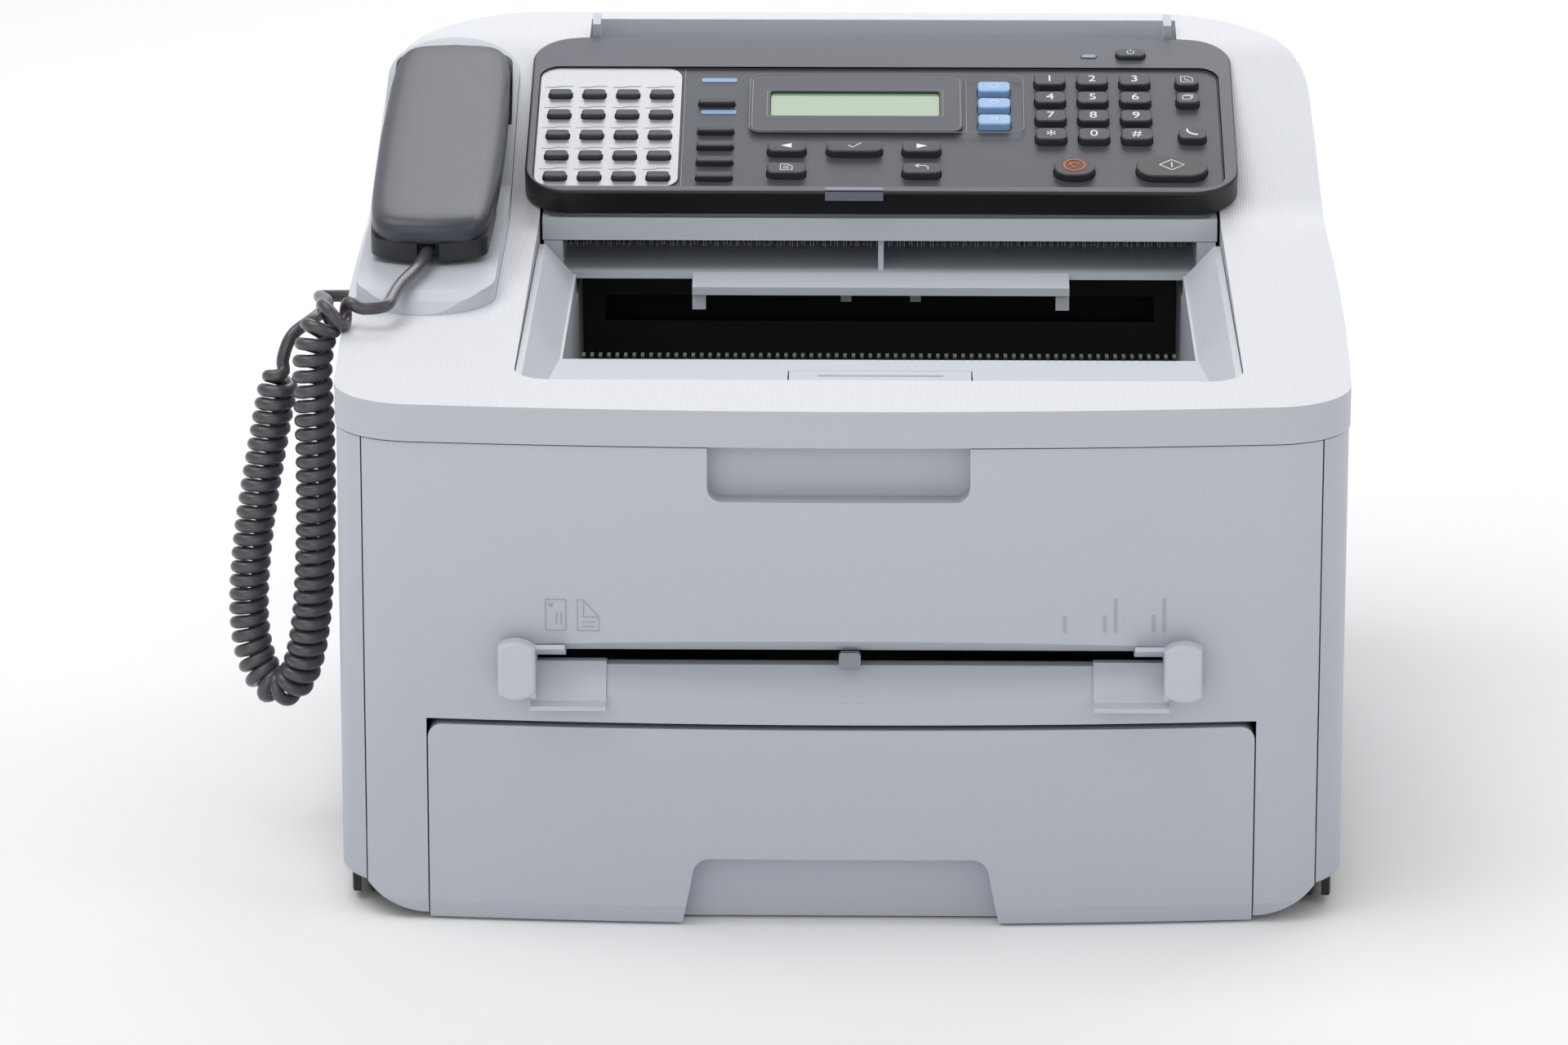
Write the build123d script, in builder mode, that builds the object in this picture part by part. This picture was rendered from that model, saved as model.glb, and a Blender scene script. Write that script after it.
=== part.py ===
"""Laser fax machine with a corded handset, as separate pieces.

Millimetres, +Z up, +X to the machine's right as seen from the front,
the front faces -Y. The origin is on the desk, under the middle of the casing.
"""

from build123d import *
import math
import os

# ---------------------------------------------------------------- driving sizes
WIDTH = 356.0
DEPTH = 380.0
HEIGHT = 244.0
WALL = 2.5
SEAM_Z = 173.2
FRONT_Z = 186.0
FRONT_BOW = 10.0
SIDE_TAPER = 3.5
FRONT_CORNER = 29.0
REAR_CORNER = 60.0
FEET_HEIGHT = 3.0
GAP = 0.5
FIT = 0.35
SHAFT_CLEARANCE = 0.05
SKIN = GAP
CREASE_Z = 7.5
UNDERCUT = 2.0

PAPER_WIDTH = 216.0
CASSETTE_LENGTH = 318.0
CASSETTE_HEIGHT = 71.0
CASSETTE_BOTTOM = 1.0
HANDSET_MARGIN = 58.0
RIGHT_MARGIN = 32.0
PANEL_TILT = 18.1
PANEL_FRONT_SETBACK = 245.0
PANEL_FRONT_Z = 204.3
PANEL_DEPTH = 113.0
HANDSET_LENGTH = 190.0
HANDSET_WIDTH = 46.0

KNOB_REACH = 5.0
FRONT = -(DEPTH - KNOB_REACH) / 2
BACK = FRONT + DEPTH
HALF = WIDTH / 2
WIDEST_Y = FRONT + 210.0

PANEL_WIDTH = WIDTH - HANDSET_MARGIN - RIGHT_MARGIN
PANEL_X = (HANDSET_MARGIN - RIGHT_MARGIN) / 2
PANEL = Plane(
    origin=(PANEL_X, FRONT + PANEL_FRONT_SETBACK, PANEL_FRONT_Z),
    x_dir=(1, 0, 0),
    z_dir=(0, -math.sin(math.radians(PANEL_TILT)), math.cos(math.radians(PANEL_TILT))),
)

COVER_HALF = HALF - 13.0
SLOT_X = 3.0

HANDSET_TILT = 7.8
HANDSET_X = -HALF + HANDSET_MARGIN / 2 - 1.0
HANDSET = Plane(
    origin=(HANDSET_X, FRONT + 248.0, 227.0),
    x_dir=(1, 0, 0),
    z_dir=(0, -math.sin(math.radians(HANDSET_TILT)), math.cos(math.radians(HANDSET_TILT))),
)

os.makedirs("parts", exist_ok=True)


def save(part, name):
    """Label a finished piece and write it as its own file."""
    part.label = name
    export_step(part, f"parts/{name}.step")


# ---------------------------------------------------------------- shared shapes
def outline(inset=0.0):
    """Plan outline of the casing, moved in by inset."""
    side = HALF - inset
    front_left = (-side + SIDE_TAPER, FRONT + FRONT_BOW + inset)
    front_right = (side - SIDE_TAPER, FRONT + FRONT_BOW + inset)
    back_left = (-side + SIDE_TAPER + 2.0, BACK - inset)
    back_right = (side - SIDE_TAPER - 2.0, BACK - inset)
    with BuildSketch() as plan:
        with BuildLine():
            ThreePointArc(front_left, (0, FRONT + inset), front_right)
            ThreePointArc(front_right, (side, WIDEST_Y), back_right)
            Line(back_right, back_left)
            ThreePointArc(back_left, (-side, WIDEST_Y), front_left)
        make_face()
        corners = plan.vertices().sort_by(Axis.Y)
        fillet(corners[:2], FRONT_CORNER - inset)
        fillet(plan.vertices().group_by(Axis.Y)[-1], REAR_CORNER - inset)
    return plan.sketch


def top_line(drop):
    """Side profile under the top surface, lowered by drop."""
    with BuildSketch() as profile:
        with BuildLine():
            top = FilletPolyline(
                (FRONT - 4, FRONT_Z - drop),
                (FRONT + 248, FRONT_Z + 7 - drop),
                (FRONT + 351, HEIGHT - 6 - drop),
                (BACK + 4, HEIGHT - drop),
                radius=70,
            )
            Polyline(top @ 1, (BACK + 4, 0), (FRONT - 4, 0), top @ 0)
        make_face()
    return profile.sketch


def casing(inset, drop, base):
    """Solid of the casing between a level and the curved top."""
    with BuildPart() as block:
        with BuildSketch(Plane.XY.offset(base)):
            add(outline(inset))
        extrude(amount=HEIGHT + 10 - base)
        with BuildSketch(Plane.YZ):
            add(top_line(drop))
        extrude(amount=WIDTH, both=True, mode=Mode.INTERSECT)
    return block.part


def ring(bottom, top, inset, rounding=0.0):
    """Wall of the casing between two levels, rounded at the bottom."""
    with BuildPart() as wall:
        with BuildSketch(Plane.XY.offset(bottom)):
            add(outline(inset))
        extrude(amount=top - bottom)
        if rounding:
            fillet(wall.edges().group_by(Axis.Z)[0], rounding)
        with BuildSketch(Plane.XY.offset(bottom)):
            add(outline(inset + WALL))
        extrude(amount=top - bottom, mode=Mode.SUBTRACT)
    return wall.part


def box(x0, x1, y0, y1, z0, z1):
    """Plain block between two corners."""
    with BuildPart() as block:
        with BuildSketch(Plane.XY.offset(z0)):
            with Locations(((x0 + x1) / 2, (y0 + y1) / 2)):
                Rectangle(x1 - x0, y1 - y0)
        extrude(amount=z1 - z0)
    return block.part


def shell_block(bottom, top):
    """Block of the casing's plan whose lowest band leans inward."""
    with BuildPart() as block:
        with BuildSketch(Plane.XY.offset(bottom)):
            add(outline(SKIN))
        extrude(amount=top - bottom)
        base = block.faces().sort_by(Axis.Z)[0]
        chamfer(base.edges(), length=UNDERCUT, length2=CREASE_Z - bottom, reference=base)
    return block.part


def across(points, x0, x1):
    """Block with a (y from the front, z) outline between two x positions."""
    with BuildPart() as block:
        with BuildSketch(Plane.YZ.offset(x0)):
            with BuildLine():
                Polyline(*[(FRONT + y, z) for y, z in points], close=True)
            make_face()
        extrude(amount=x1 - x0)
    return block.part


def rod(x0, x1, y, z, radius):
    """Cylinder along X, its y measured from the front."""
    with BuildPart() as shaft:
        with BuildSketch(Plane.YZ.offset(x0)):
            with Locations((FRONT + y, z)):
                Circle(radius)
        extrude(amount=x1 - x0)
    return shaft.part


# ---------------------------------------------------------------- openings in the top
OPENING_LEFT = -HALF + HANDSET_MARGIN + 6.0
OPENING_RIGHT = HALF - RIGHT_MARGIN - 7.0
OPENING_FRONT = FRONT + 38.0
OPENING_BACK = FRONT + 355.0
SLOT_LEFT = OPENING_LEFT + 15.0
SLOT_RIGHT = OPENING_RIGHT - 13.0
SLOT_BACK = FRONT + 373.0


def opening(grow=0.0):
    """Plan of the opening for the output tray, the panel and the document slot."""
    with BuildSketch() as hole:
        with Locations(((OPENING_LEFT + OPENING_RIGHT) / 2, (OPENING_FRONT + OPENING_BACK) / 2)):
            RectangleRounded(
                OPENING_RIGHT - OPENING_LEFT + 2 * grow,
                OPENING_BACK - OPENING_FRONT + 2 * grow,
                13 + grow,
            )
        with Locations(((SLOT_LEFT + SLOT_RIGHT) / 2, (OPENING_BACK + SLOT_BACK) / 2 - 10)):
            Rectangle(SLOT_RIGHT - SLOT_LEFT + 2 * grow, SLOT_BACK - OPENING_BACK + 20 + 2 * grow)
    return hole.sketch


CRADLE_FRONT = FRONT + 117.0
CRADLE_BACK = FRONT + 352.0
CRADLE_WIDTH = HANDSET_WIDTH + 4.0


def cradle_plan(grow=0.0):
    """Round-ended plan of the handset's cradle."""
    with BuildSketch() as plan:
        with Locations((HANDSET_X, (CRADLE_FRONT + CRADLE_BACK) / 2)):
            RectangleRounded(
                CRADLE_WIDTH + 2 * grow,
                CRADLE_BACK - CRADLE_FRONT + 2 * grow,
                CRADLE_WIDTH / 2 + grow - 0.01,
            )
    return plan.sketch


# ---------------------------------------------------------------- casing
SOCKET_Y = FRONT + 176.0
SOCKET_Z = 181.5
SOCKET_SIZE = 10.0
SOCKET_FACE = -HALF - 1.0


def make_top_cover():
    """White upper shell with a skirt round its opening and a hole for the cradle."""
    with BuildPart() as cover:
        add(casing(0, 0, SEAM_Z))
        add(casing(WALL, WALL, SEAM_Z - 1), mode=Mode.SUBTRACT)
        with BuildPart(mode=Mode.PRIVATE) as skirt:
            with BuildSketch(Plane.XY.offset(SEAM_Z)):
                add(opening(grow=2.0))
                add(cradle_plan(grow=2.0))
            extrude(amount=HEIGHT)
            add(casing(WALL / 2, WALL / 2, SEAM_Z - 1), mode=Mode.INTERSECT)
        add(skirt.part)
        with BuildSketch(Plane.XY.offset(SEAM_Z - 1)):
            add(opening())
            add(cradle_plan())
        extrude(amount=HEIGHT, mode=Mode.SUBTRACT)
        reach = SOCKET_SIZE / 2 + 0.2
        add(
            box(-HALF - 5, -HALF + 8, SOCKET_Y - reach, SOCKET_Y + reach, SOCKET_Z - reach, SOCKET_Z + reach),
            mode=Mode.SUBTRACT,
        )
    return cover.part


def make_cord_socket():
    """Socket of the handset's cord in the left side of the top cover."""
    half = SOCKET_SIZE / 2
    with BuildPart() as socket:
        add(box(SOCKET_FACE, -HALF + 6, SOCKET_Y - half, SOCKET_Y + half, SOCKET_Z - half, SOCKET_Z + half))
    return socket.part


SIDE_BOTTOM = 12.0
SIDE_TOP = SEAM_Z - GAP
REAR_HALF = HALF - REAR_CORNER


def make_side_cover():
    """Left side panel, wrapped round the front and rear corners."""
    with BuildPart() as cover:
        add(ring(SIDE_BOTTOM, SIDE_TOP, SKIN, rounding=WALL - 0.5))
        with BuildSketch(Plane.XY):
            with BuildLine():
                Polyline(
                    (-WIDTH, FRONT - 5),
                    (-COVER_HALF - GAP, FRONT - 5),
                    (-COVER_HALF - GAP, 60),
                    (-REAR_HALF - GAP / 2, 60),
                    (-REAR_HALF - GAP / 2, BACK + 5),
                    (-WIDTH, BACK + 5),
                    close=True,
                )
            make_face()
        extrude(amount=HEIGHT, mode=Mode.INTERSECT)
        add(box(-COVER_HALF - 3.5, -COVER_HALF + 3, FRONT + 20.6, FRONT + 23, 30, SIDE_TOP - 2))
    return cover.part


INLET_X = -80.0
INLET_Z = 45.0
INLET_SIZE = (28.0, 21.0)
LINE_JACKS = (40.0, 62.0)
LINE_Z = 60.0
LINE_SIZE = (12.0, 13.0)
VENT_COUNT = 9


def make_rear_cover():
    """Back panel with holes for the mains inlet and the line jacks, and vents."""
    with BuildPart() as cover:
        add(ring(SIDE_BOTTOM, SIDE_TOP, SKIN))
        add(box(-REAR_HALF + GAP / 2, REAR_HALF - GAP / 2, 60, BACK + 5, 0, HEIGHT), mode=Mode.INTERSECT)
        with BuildSketch(Plane.XZ.offset(-BACK - 5)):
            with Locations((INLET_X, INLET_Z)):
                Rectangle(INLET_SIZE[0] + 2 * GAP, INLET_SIZE[1] + 2 * GAP)
            with Locations(*[(x, LINE_Z) for x in LINE_JACKS]):
                Rectangle(LINE_SIZE[0] + 2 * GAP, LINE_SIZE[1] + 2 * GAP)
            with Locations((0, 130)):
                with GridLocations(14, 1, VENT_COUNT, 1):
                    SlotOverall(40, 5, rotation=90)
        extrude(amount=20, mode=Mode.SUBTRACT)
    return cover.part


# ---------------------------------------------------------------- base and inside
CASSETTE_HALF = PAPER_WIDTH / 2 + 17.0
DRAWER_HALF = PAPER_WIDTH / 2 + 35.0
FRAME_HALF = DRAWER_HALF + 3.0
FRAME_WALL = 2.5
FRAME_FRONT = 30.0
FRAME_BACK = 344.0
FRAME_TOP = 166.0
SHELF_Z = 92.0
TRAY_TOP = 58.0
HEAT_Y = 314.0
HEAT_Z = 103.0
HEAT_RADIUS = 11.0
HEAT_LENGTH = PAPER_WIDTH + 8.0
JOURNAL = 4.0
PICKUP_Y = 52.0
PICKUP_Z = 76.0
PICKUP_RADIUS = 12.0
HINGE_Y = 16.0
HINGE_Z = 14.0
HINGE_PIN = 2.5
LUG_RADIUS = 3.9
LUG_X0 = 147.5
LUG_X1 = 151.0
RAIL_HALF = DRAWER_HALF - 1.0
RAIL_Z = 30.0
PLINTH_TOP = 22.0


def make_base_frame():
    """Floor, side walls, rear wall and cross shelf that carry everything else."""
    inner = FRAME_HALF
    outer = FRAME_HALF + FRAME_WALL
    with BuildPart() as frame:
        with BuildSketch(Plane.XY.offset(FEET_HEIGHT)):
            add(outline(9.0))
        extrude(amount=2.5)
        add(ring(FEET_HEIGHT, PLINTH_TOP, SKIN + WALL + GAP))
        add(box(-WIDTH, WIDTH, FRONT, FRONT + FRAME_FRONT, 0, PLINTH_TOP), mode=Mode.SUBTRACT)
        for side in (-1, 1):
            x0, x1 = sorted((side * inner, side * outer))
            add(box(x0, x1, FRONT + FRAME_FRONT, FRONT + FRAME_BACK, FEET_HEIGHT, FRAME_TOP))
            ledge0, ledge1 = sorted((side * inner, side * (RAIL_HALF - 4)))
            add(box(ledge0, ledge1, FRONT + 40, FRONT + FRAME_BACK - 8, RAIL_Z - 4, RAIL_Z - GAP))
            lug0, lug1 = sorted((side * LUG_X0, side * LUG_X1))
            add(rod(lug0, lug1, HINGE_Y, HINGE_Z, LUG_RADIUS))
            add(across([(16, 12), (16, 17.9), (34, 20), (34, 12)], lug0, lug1))
        add(box(-outer, outer, FRONT + FRAME_BACK - 2.5, FRONT + FRAME_BACK, FEET_HEIGHT, FRAME_TOP))
        add(box(-outer, outer, FRONT + 120, FRONT + 250, SHELF_Z, SHELF_Z + 2.5))
        with BuildSketch(Plane.YZ.offset(-outer - 1)):
            with Locations((FRONT + PICKUP_Y, PICKUP_Z)):
                Circle(JOURNAL + SHAFT_CLEARANCE)
        extrude(amount=2 * outer + 2, mode=Mode.SUBTRACT)
        for side in (-1, 1):
            lug0, lug1 = sorted((side * LUG_X0, side * LUG_X1))
            add(rod(lug0, lug1, HINGE_Y, HINGE_Z, HINGE_PIN + SHAFT_CLEARANCE), mode=Mode.SUBTRACT)
    return frame.part


def make_feet():
    """Four rubber feet."""
    with BuildPart() as feet:
        with BuildSketch():
            with GridLocations(WIDTH - 76, DEPTH - 100, 2, 2):
                Circle(8)
        extrude(amount=FEET_HEIGHT)
    return feet.part


def make_laser_unit():
    """Laser scanner box with its exit window ledge and cover screws' bosses."""
    x0, x1 = -PAPER_WIDTH / 2 + 8, PAPER_WIDTH / 2 - 8
    with BuildPart() as unit:
        add(across([(135, SHELF_Z + 2.5), (245, SHELF_Z + 2.5), (245, 120), (225, 126), (135, 126)], x0, x1))
        add(box(x0 + 12, x1 - 12, FRONT + 129, FRONT + 135, SHELF_Z + 8, SHELF_Z + 18))
    return unit.part


def make_toner_cartridge():
    """Toner and drum cartridge with a ribbed grip at the front."""
    half = PAPER_WIDTH / 2 + 8
    body = [(32, 108), (32, 160), (104, 160), (118, 146), (118, 100), (104, 96), (72, 96), (60, 108)]
    with BuildPart() as cartridge:
        add(across(body, -half, half))
        for x in (-30, 0, 30):
            add(box(x - 2, x + 2, FRONT + 28, FRONT + 32, 130, 152))
        for side in (-1, 1):
            x0, x1 = sorted((side * half, side * (half + 6)))
            add(rod(x0, x1, 104, 118, 6))
    return cartridge.part


def make_pickup_roller():
    """Rubber pick-up roller on its shaft, carried by the frame's side walls."""
    shaft_end = FRAME_HALF + FRAME_WALL + 4
    with BuildPart() as roller:
        add(rod(-shaft_end, shaft_end, PICKUP_Y, PICKUP_Z, JOURNAL))
        add(rod(-26, 26, PICKUP_Y, PICKUP_Z, PICKUP_RADIUS))
    return roller.part


def make_fuser_unit():
    """Fuser housing: a trough with end plates that carry the heat roller."""
    half = HEAT_LENGTH / 2 + 8
    with BuildPart() as unit:
        add(box(-half, half, FRONT + HEAT_Y - 26, FRONT + HEAT_Y + 22, HEAT_Z - 22, HEAT_Z + 17))
        add(rod(-half + 6, half - 6, HEAT_Y, HEAT_Z, HEAT_RADIUS + 2), mode=Mode.SUBTRACT)
        add(rod(-half - 1, half + 1, HEAT_Y, HEAT_Z, JOURNAL + SHAFT_CLEARANCE), mode=Mode.SUBTRACT)
        add(
            box(-half + 6, half - 6, FRONT + HEAT_Y - 8, FRONT + HEAT_Y + 8, HEAT_Z, HEAT_Z + 40),
            mode=Mode.SUBTRACT,
        )
        for side in (-1, 1):
            x0, x1 = sorted((side * half, side * FRAME_HALF))
            add(box(x0, x1, FRONT + HEAT_Y - 20, FRONT + HEAT_Y + 16, HEAT_Z - 20, HEAT_Z - 12))
    return unit.part


def make_heat_roller():
    """Coated metal roller between its two journals."""
    half = HEAT_LENGTH / 2
    with BuildPart() as roller:
        add(rod(-half, half, HEAT_Y, HEAT_Z, HEAT_RADIUS))
        add(rod(-half - 11, half + 11, HEAT_Y, HEAT_Z, JOURNAL))
    return roller.part


def make_main_board():
    """Upright main board behind the fuser, with its chips and line jacks."""
    board_back = FRONT + FRAME_BACK + 8
    with BuildPart() as board:
        add(box(-10, 112, FRONT + FRAME_BACK + 6.4, board_back, 18, 150))
        for x, z, w, h in ((20, 110, 24, 24), (60, 112, 18, 14), (86, 90, 14, 30), (30, 84, 30, 10)):
            add(box(x - w / 2, x + w / 2, board_back, board_back + 2, z - h / 2, z + h / 2))
        for x in LINE_JACKS:
            add(
                box(
                    x - LINE_SIZE[0] / 2, x + LINE_SIZE[0] / 2, board_back, BACK - SKIN,
                    LINE_Z - LINE_SIZE[1] / 2, LINE_Z + LINE_SIZE[1] / 2,
                )
            )
            add(
                box(x - 4.5, x + 4.5, BACK - 14, BACK, LINE_Z - 3.5, LINE_Z + 4.5),
                mode=Mode.SUBTRACT,
            )
        add(box(0, 6, FRONT + FRAME_BACK, board_back - 1.6, 30, 36))
        add(box(96, 102, FRONT + FRAME_BACK, board_back - 1.6, 30, 36))
    return board.part


def make_power_supply():
    """Power supply box with the three-pin mains inlet."""
    width, height = INLET_SIZE
    with BuildPart() as supply:
        add(box(INLET_X - 32, INLET_X + 48, FRONT + FRAME_BACK, BACK - 8, 14, 112))
        add(
            box(
                INLET_X - width / 2, INLET_X + width / 2, BACK - 8, BACK - SKIN,
                INLET_Z - height / 2, INLET_Z + height / 2,
            )
        )
        add(box(INLET_X - 11, INLET_X + 11, BACK - 16, BACK, INLET_Z - 7, INLET_Z + 7), mode=Mode.SUBTRACT)
        for dx, dz in ((-6, -2), (6, -2), (0, 3)):
            x, z = INLET_X + dx, INLET_Z + dz
            add(box(x - 1, x + 1, BACK - 17, BACK - 4, z - 2, z + 2))
    return supply.part


# ---------------------------------------------------------------- output tray and feeder
TRAY_LEFT = OPENING_LEFT + FIT
TRAY_RIGHT = OPENING_RIGHT - FIT
TRAY_FRONT = 38.0 + FIT
LIP_FLOOR_END = 112.0
FLAP_WIDTH = 64.0
FLAP_LENGTH = 46.0
FLAP_X = PANEL_X
FLAP_Y = 45.0
TRAY_Z = 180.0
TRAY_DROP = 5.0
RIM_Z = 186.5
RIM_BACK = 235.0
RIM_WALL = 2.4
RIM_TAPER = 42.0
SLOPE_END = 174.0
SLOPE_RUN = (RIM_Z - SLOPE_END) * math.tan(math.radians(RIM_TAPER))


def tray_height(y):
    """Level of the tray's front floor at a distance from the front."""
    return TRAY_Z - TRAY_DROP * (y - TRAY_FRONT) / (LIP_FLOOR_END - TRAY_FRONT)


def tray_plan(inset, back):
    """Plan of the tray's sloping rim, started ahead of the opening."""
    front = TRAY_FRONT - 14.0
    with BuildSketch(Plane.XY.offset(RIM_Z)) as plan:
        with Locations(((TRAY_LEFT + TRAY_RIGHT) / 2, FRONT + (front + back) / 2)):
            Rectangle(TRAY_RIGHT - TRAY_LEFT - 2 * inset, back - front)
    return plan.sketch


def make_output_tray():
    """Pale tray: sloping rim and floor, a front wall, and side walls down to the exit."""
    front_z = tray_height(TRAY_FRONT)
    end_z = tray_height(LIP_FLOOR_END)
    floor = [
        (TRAY_FRONT, front_z), (LIP_FLOOR_END, end_z), (LIP_FLOOR_END, end_z - 2), (TRAY_FRONT, front_z - 2),
    ]
    side = [
        (LIP_FLOOR_END, SLOPE_END + 1), (RIM_BACK, SLOPE_END + 1), (RIM_BACK, 164), (300, 164), (300, 122),
        (290, 122), (LIP_FLOOR_END, end_z - 4),
    ]
    wall = TRAY_LEFT + SLOPE_RUN
    with BuildPart() as tray:
        add(tray_plan(0, 270))
        extrude(amount=SLOPE_END - RIM_Z, taper=RIM_TAPER)
        add(tray_plan(RIM_WALL, 270))
        extrude(amount=SLOPE_END - RIM_Z, taper=RIM_TAPER, mode=Mode.SUBTRACT)
        add(box(TRAY_LEFT, TRAY_RIGHT, FRONT + RIM_BACK, FRONT + 300, 164, 200), mode=Mode.SUBTRACT)
        add(across(floor, TRAY_LEFT + 9.5, TRAY_RIGHT - 9.5))
        add(across(side, wall, wall + RIM_WALL))
        add(across(side, TRAY_RIGHT - SLOPE_RUN - RIM_WALL, TRAY_RIGHT - SLOPE_RUN))
        add(box(TRAY_LEFT, TRAY_RIGHT, FRONT + TRAY_FRONT, FRONT + TRAY_FRONT + 2, front_z - 2, RIM_Z - 1))
        with BuildSketch(Plane.XY.offset(100)):
            with Locations(((TRAY_LEFT + TRAY_RIGHT) / 2, FRONT + TRAY_FRONT + 150)):
                RectangleRounded(TRAY_RIGHT - TRAY_LEFT, 300, 13 - FIT)
        extrude(amount=100, mode=Mode.INTERSECT)
        add(
            box(
                FLAP_X - FLAP_WIDTH / 2 - GAP, FLAP_X + FLAP_WIDTH / 2 + GAP,
                FRONT + FLAP_Y - 3, FRONT + FLAP_Y + FLAP_LENGTH + GAP, 160, 200,
            ),
            mode=Mode.SUBTRACT,
        )
    return tray.part


def make_output_flap():
    """Paper stop that lies in the tray's floor and turns up on its front edge."""
    y0, y1 = FLAP_Y, FLAP_Y + FLAP_LENGTH
    z0, z1 = tray_height(y0), tray_height(y1)
    leaf = [(y0, z0), (y1, z1), (y1, z1 - 1.8), (y0, z0 - 1.8)]
    with BuildPart() as flap:
        add(across(leaf, FLAP_X - FLAP_WIDTH / 2, FLAP_X + FLAP_WIDTH / 2))
        add(rod(FLAP_X - FLAP_WIDTH / 2, FLAP_X + FLAP_WIDTH / 2, FLAP_Y, z0 - 1.0, 1.6))
        for y in (y0 + 12, y0 + 24, y0 + 36):
            z = tray_height(y) - 0.2
            add(box(FLAP_X - 22, FLAP_X + 22, FRONT + y, FRONT + y + 1.2, z, z + 0.8))
    return flap.part


EXIT_LEFT = TRAY_LEFT + SLOPE_RUN + RIM_WALL + FIT
EXIT_RIGHT = TRAY_RIGHT - SLOPE_RUN - RIM_WALL - FIT
TOOTH_PITCH = 3.0


def make_exit_guide():
    """Black paper chute below the feeder, with a comb edge and an exit slot."""
    end_z = tray_height(LIP_FLOOR_END)
    y0 = LIP_FLOOR_END + FIT
    slope = [
        (y0, end_z - 0.4), (y0, end_z - 2.4), (288, 123), (298, 123), (298, 142), (295, 142), (295, 126),
        (288, 126),
    ]
    teeth = int((EXIT_RIGHT - EXIT_LEFT - 10) / TOOTH_PITCH)
    with BuildPart() as guide:
        add(across(slope, EXIT_LEFT, EXIT_RIGHT))
        add(box(EXIT_LEFT, EXIT_LEFT + 8, FRONT + 295, FRONT + 298, 140, 168))
        add(box(EXIT_RIGHT - 8, EXIT_RIGHT, FRONT + 295, FRONT + 298, 140, 168))
        add(box(EXIT_LEFT, EXIT_RIGHT, FRONT + 295, FRONT + 298, 152, 168))
        with BuildSketch(Plane.XY.offset(end_z - 2)):
            with Locations(((EXIT_LEFT + EXIT_RIGHT) / 2, FRONT + y0 + 2.5)):
                with GridLocations(TOOTH_PITCH, 1, teeth, 1):
                    Rectangle(1.2, 5)
        extrude(amount=3)
    return guide.part


FEEDER_LEFT = OPENING_LEFT + 1.0
FEEDER_RIGHT = OPENING_RIGHT - 1.0
FEEDER_TOP = -13.5
FEEDER_BOTTOM = 185.0


def panel_block(x0, x1, t0, t1, low, high):
    """Block in the panel's own tilted frame."""
    with BuildPart() as block:
        with BuildSketch(PANEL.offset(low)):
            with Locations(((x0 + x1) / 2 - PANEL_X, (t0 + t1) / 2)):
                Rectangle(x1 - x0, t1 - t0)
        extrude(amount=high - low)
    return block.part


def make_feeder_frame():
    """Pale housing under the panel: front wall, sloping paper guide and cheeks."""
    with BuildPart() as frame:
        add(panel_block(FEEDER_LEFT, FEEDER_RIGHT, 6, 105, FEEDER_TOP - 2.5, FEEDER_TOP))
        add(panel_block(SLOT_LEFT + GAP, SLOT_RIGHT - GAP, 104, 127, FEEDER_TOP - 2.5, FEEDER_TOP))
        add(box(FEEDER_LEFT, FEEDER_RIGHT, FRONT + 248, FRONT + 250.5, FEEDER_BOTTOM, 193.5))
        for x0 in (FEEDER_LEFT, FEEDER_RIGHT - 2.5):
            add(
                across(
                    [(248, FEEDER_BOTTOM), (248, 193), (262, 196), (342, 222), (342, FEEDER_BOTTOM)],
                    x0, x0 + 2.5,
                )
            )
        add(box(FEEDER_LEFT, FEEDER_RIGHT, FRONT + 339.5, FRONT + 342, FEEDER_BOTTOM, 221))
        add(box(PANEL_X - 24, PANEL_X + 24, FRONT + 290, FRONT + 310, 180, 230), mode=Mode.SUBTRACT)
    return frame.part


EXIT_TRAY_LEFT = FEEDER_LEFT + 0.5
EXIT_TRAY_RIGHT = FEEDER_RIGHT - 0.5
POST_WIDTH = 7.0
POST_TOP = FEEDER_BOTTOM - 0.3
LIP_LEFT = PANEL_X - 70.0
LIP_RIGHT = PANEL_X + 70.0


def make_document_exit():
    """Frame that the scanned page comes out over: shelf, centre rib and lip."""
    with BuildPart() as exit_tray:
        add(box(EXIT_TRAY_LEFT, EXIT_TRAY_RIGHT, FRONT + 247, FRONT + 338, 170.5, 173))
        for x0 in (EXIT_TRAY_LEFT, EXIT_TRAY_RIGHT - POST_WIDTH):
            add(box(x0, x0 + POST_WIDTH, FRONT + 248, FRONT + 338, 173, POST_TOP))
        add(box(PANEL_X - 1, PANEL_X + 1, FRONT + 252, FRONT + 338, 173, POST_TOP))
        add(across([(236, 167), (236, 170), (247, 173), (247, 170)], LIP_LEFT, LIP_RIGHT))
        for x0 in (LIP_LEFT, LIP_RIGHT - 5):
            add(box(x0, x0 + 5, FRONT + 238, FRONT + 243, 161, 168.5))
        for x in (PANEL_X - 13, PANEL_X + 13):
            add(box(x - 2, x + 2, FRONT + 262, FRONT + 266, 158, 171))
    return exit_tray.part


GUIDE_FLOOR = FEEDER_TOP


def make_document_guide(side):
    """One page guide of the document slot: a flat foot and an upright fin."""
    face = PANEL_X + side * PAPER_WIDTH / 2
    fin0, fin1 = sorted((face, face + side * 3))
    foot0, foot1 = sorted((face + side * 3, face - side * 34))
    with BuildPart() as guide:
        add(panel_block(foot0, foot1, 117.5, 124.5, GUIDE_FLOOR + 0.35, GUIDE_FLOOR + 2.0))
        add(panel_block(fin0, fin1, 117.5, 126, GUIDE_FLOOR + 0.35, 3.0))
    return guide.part


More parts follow.
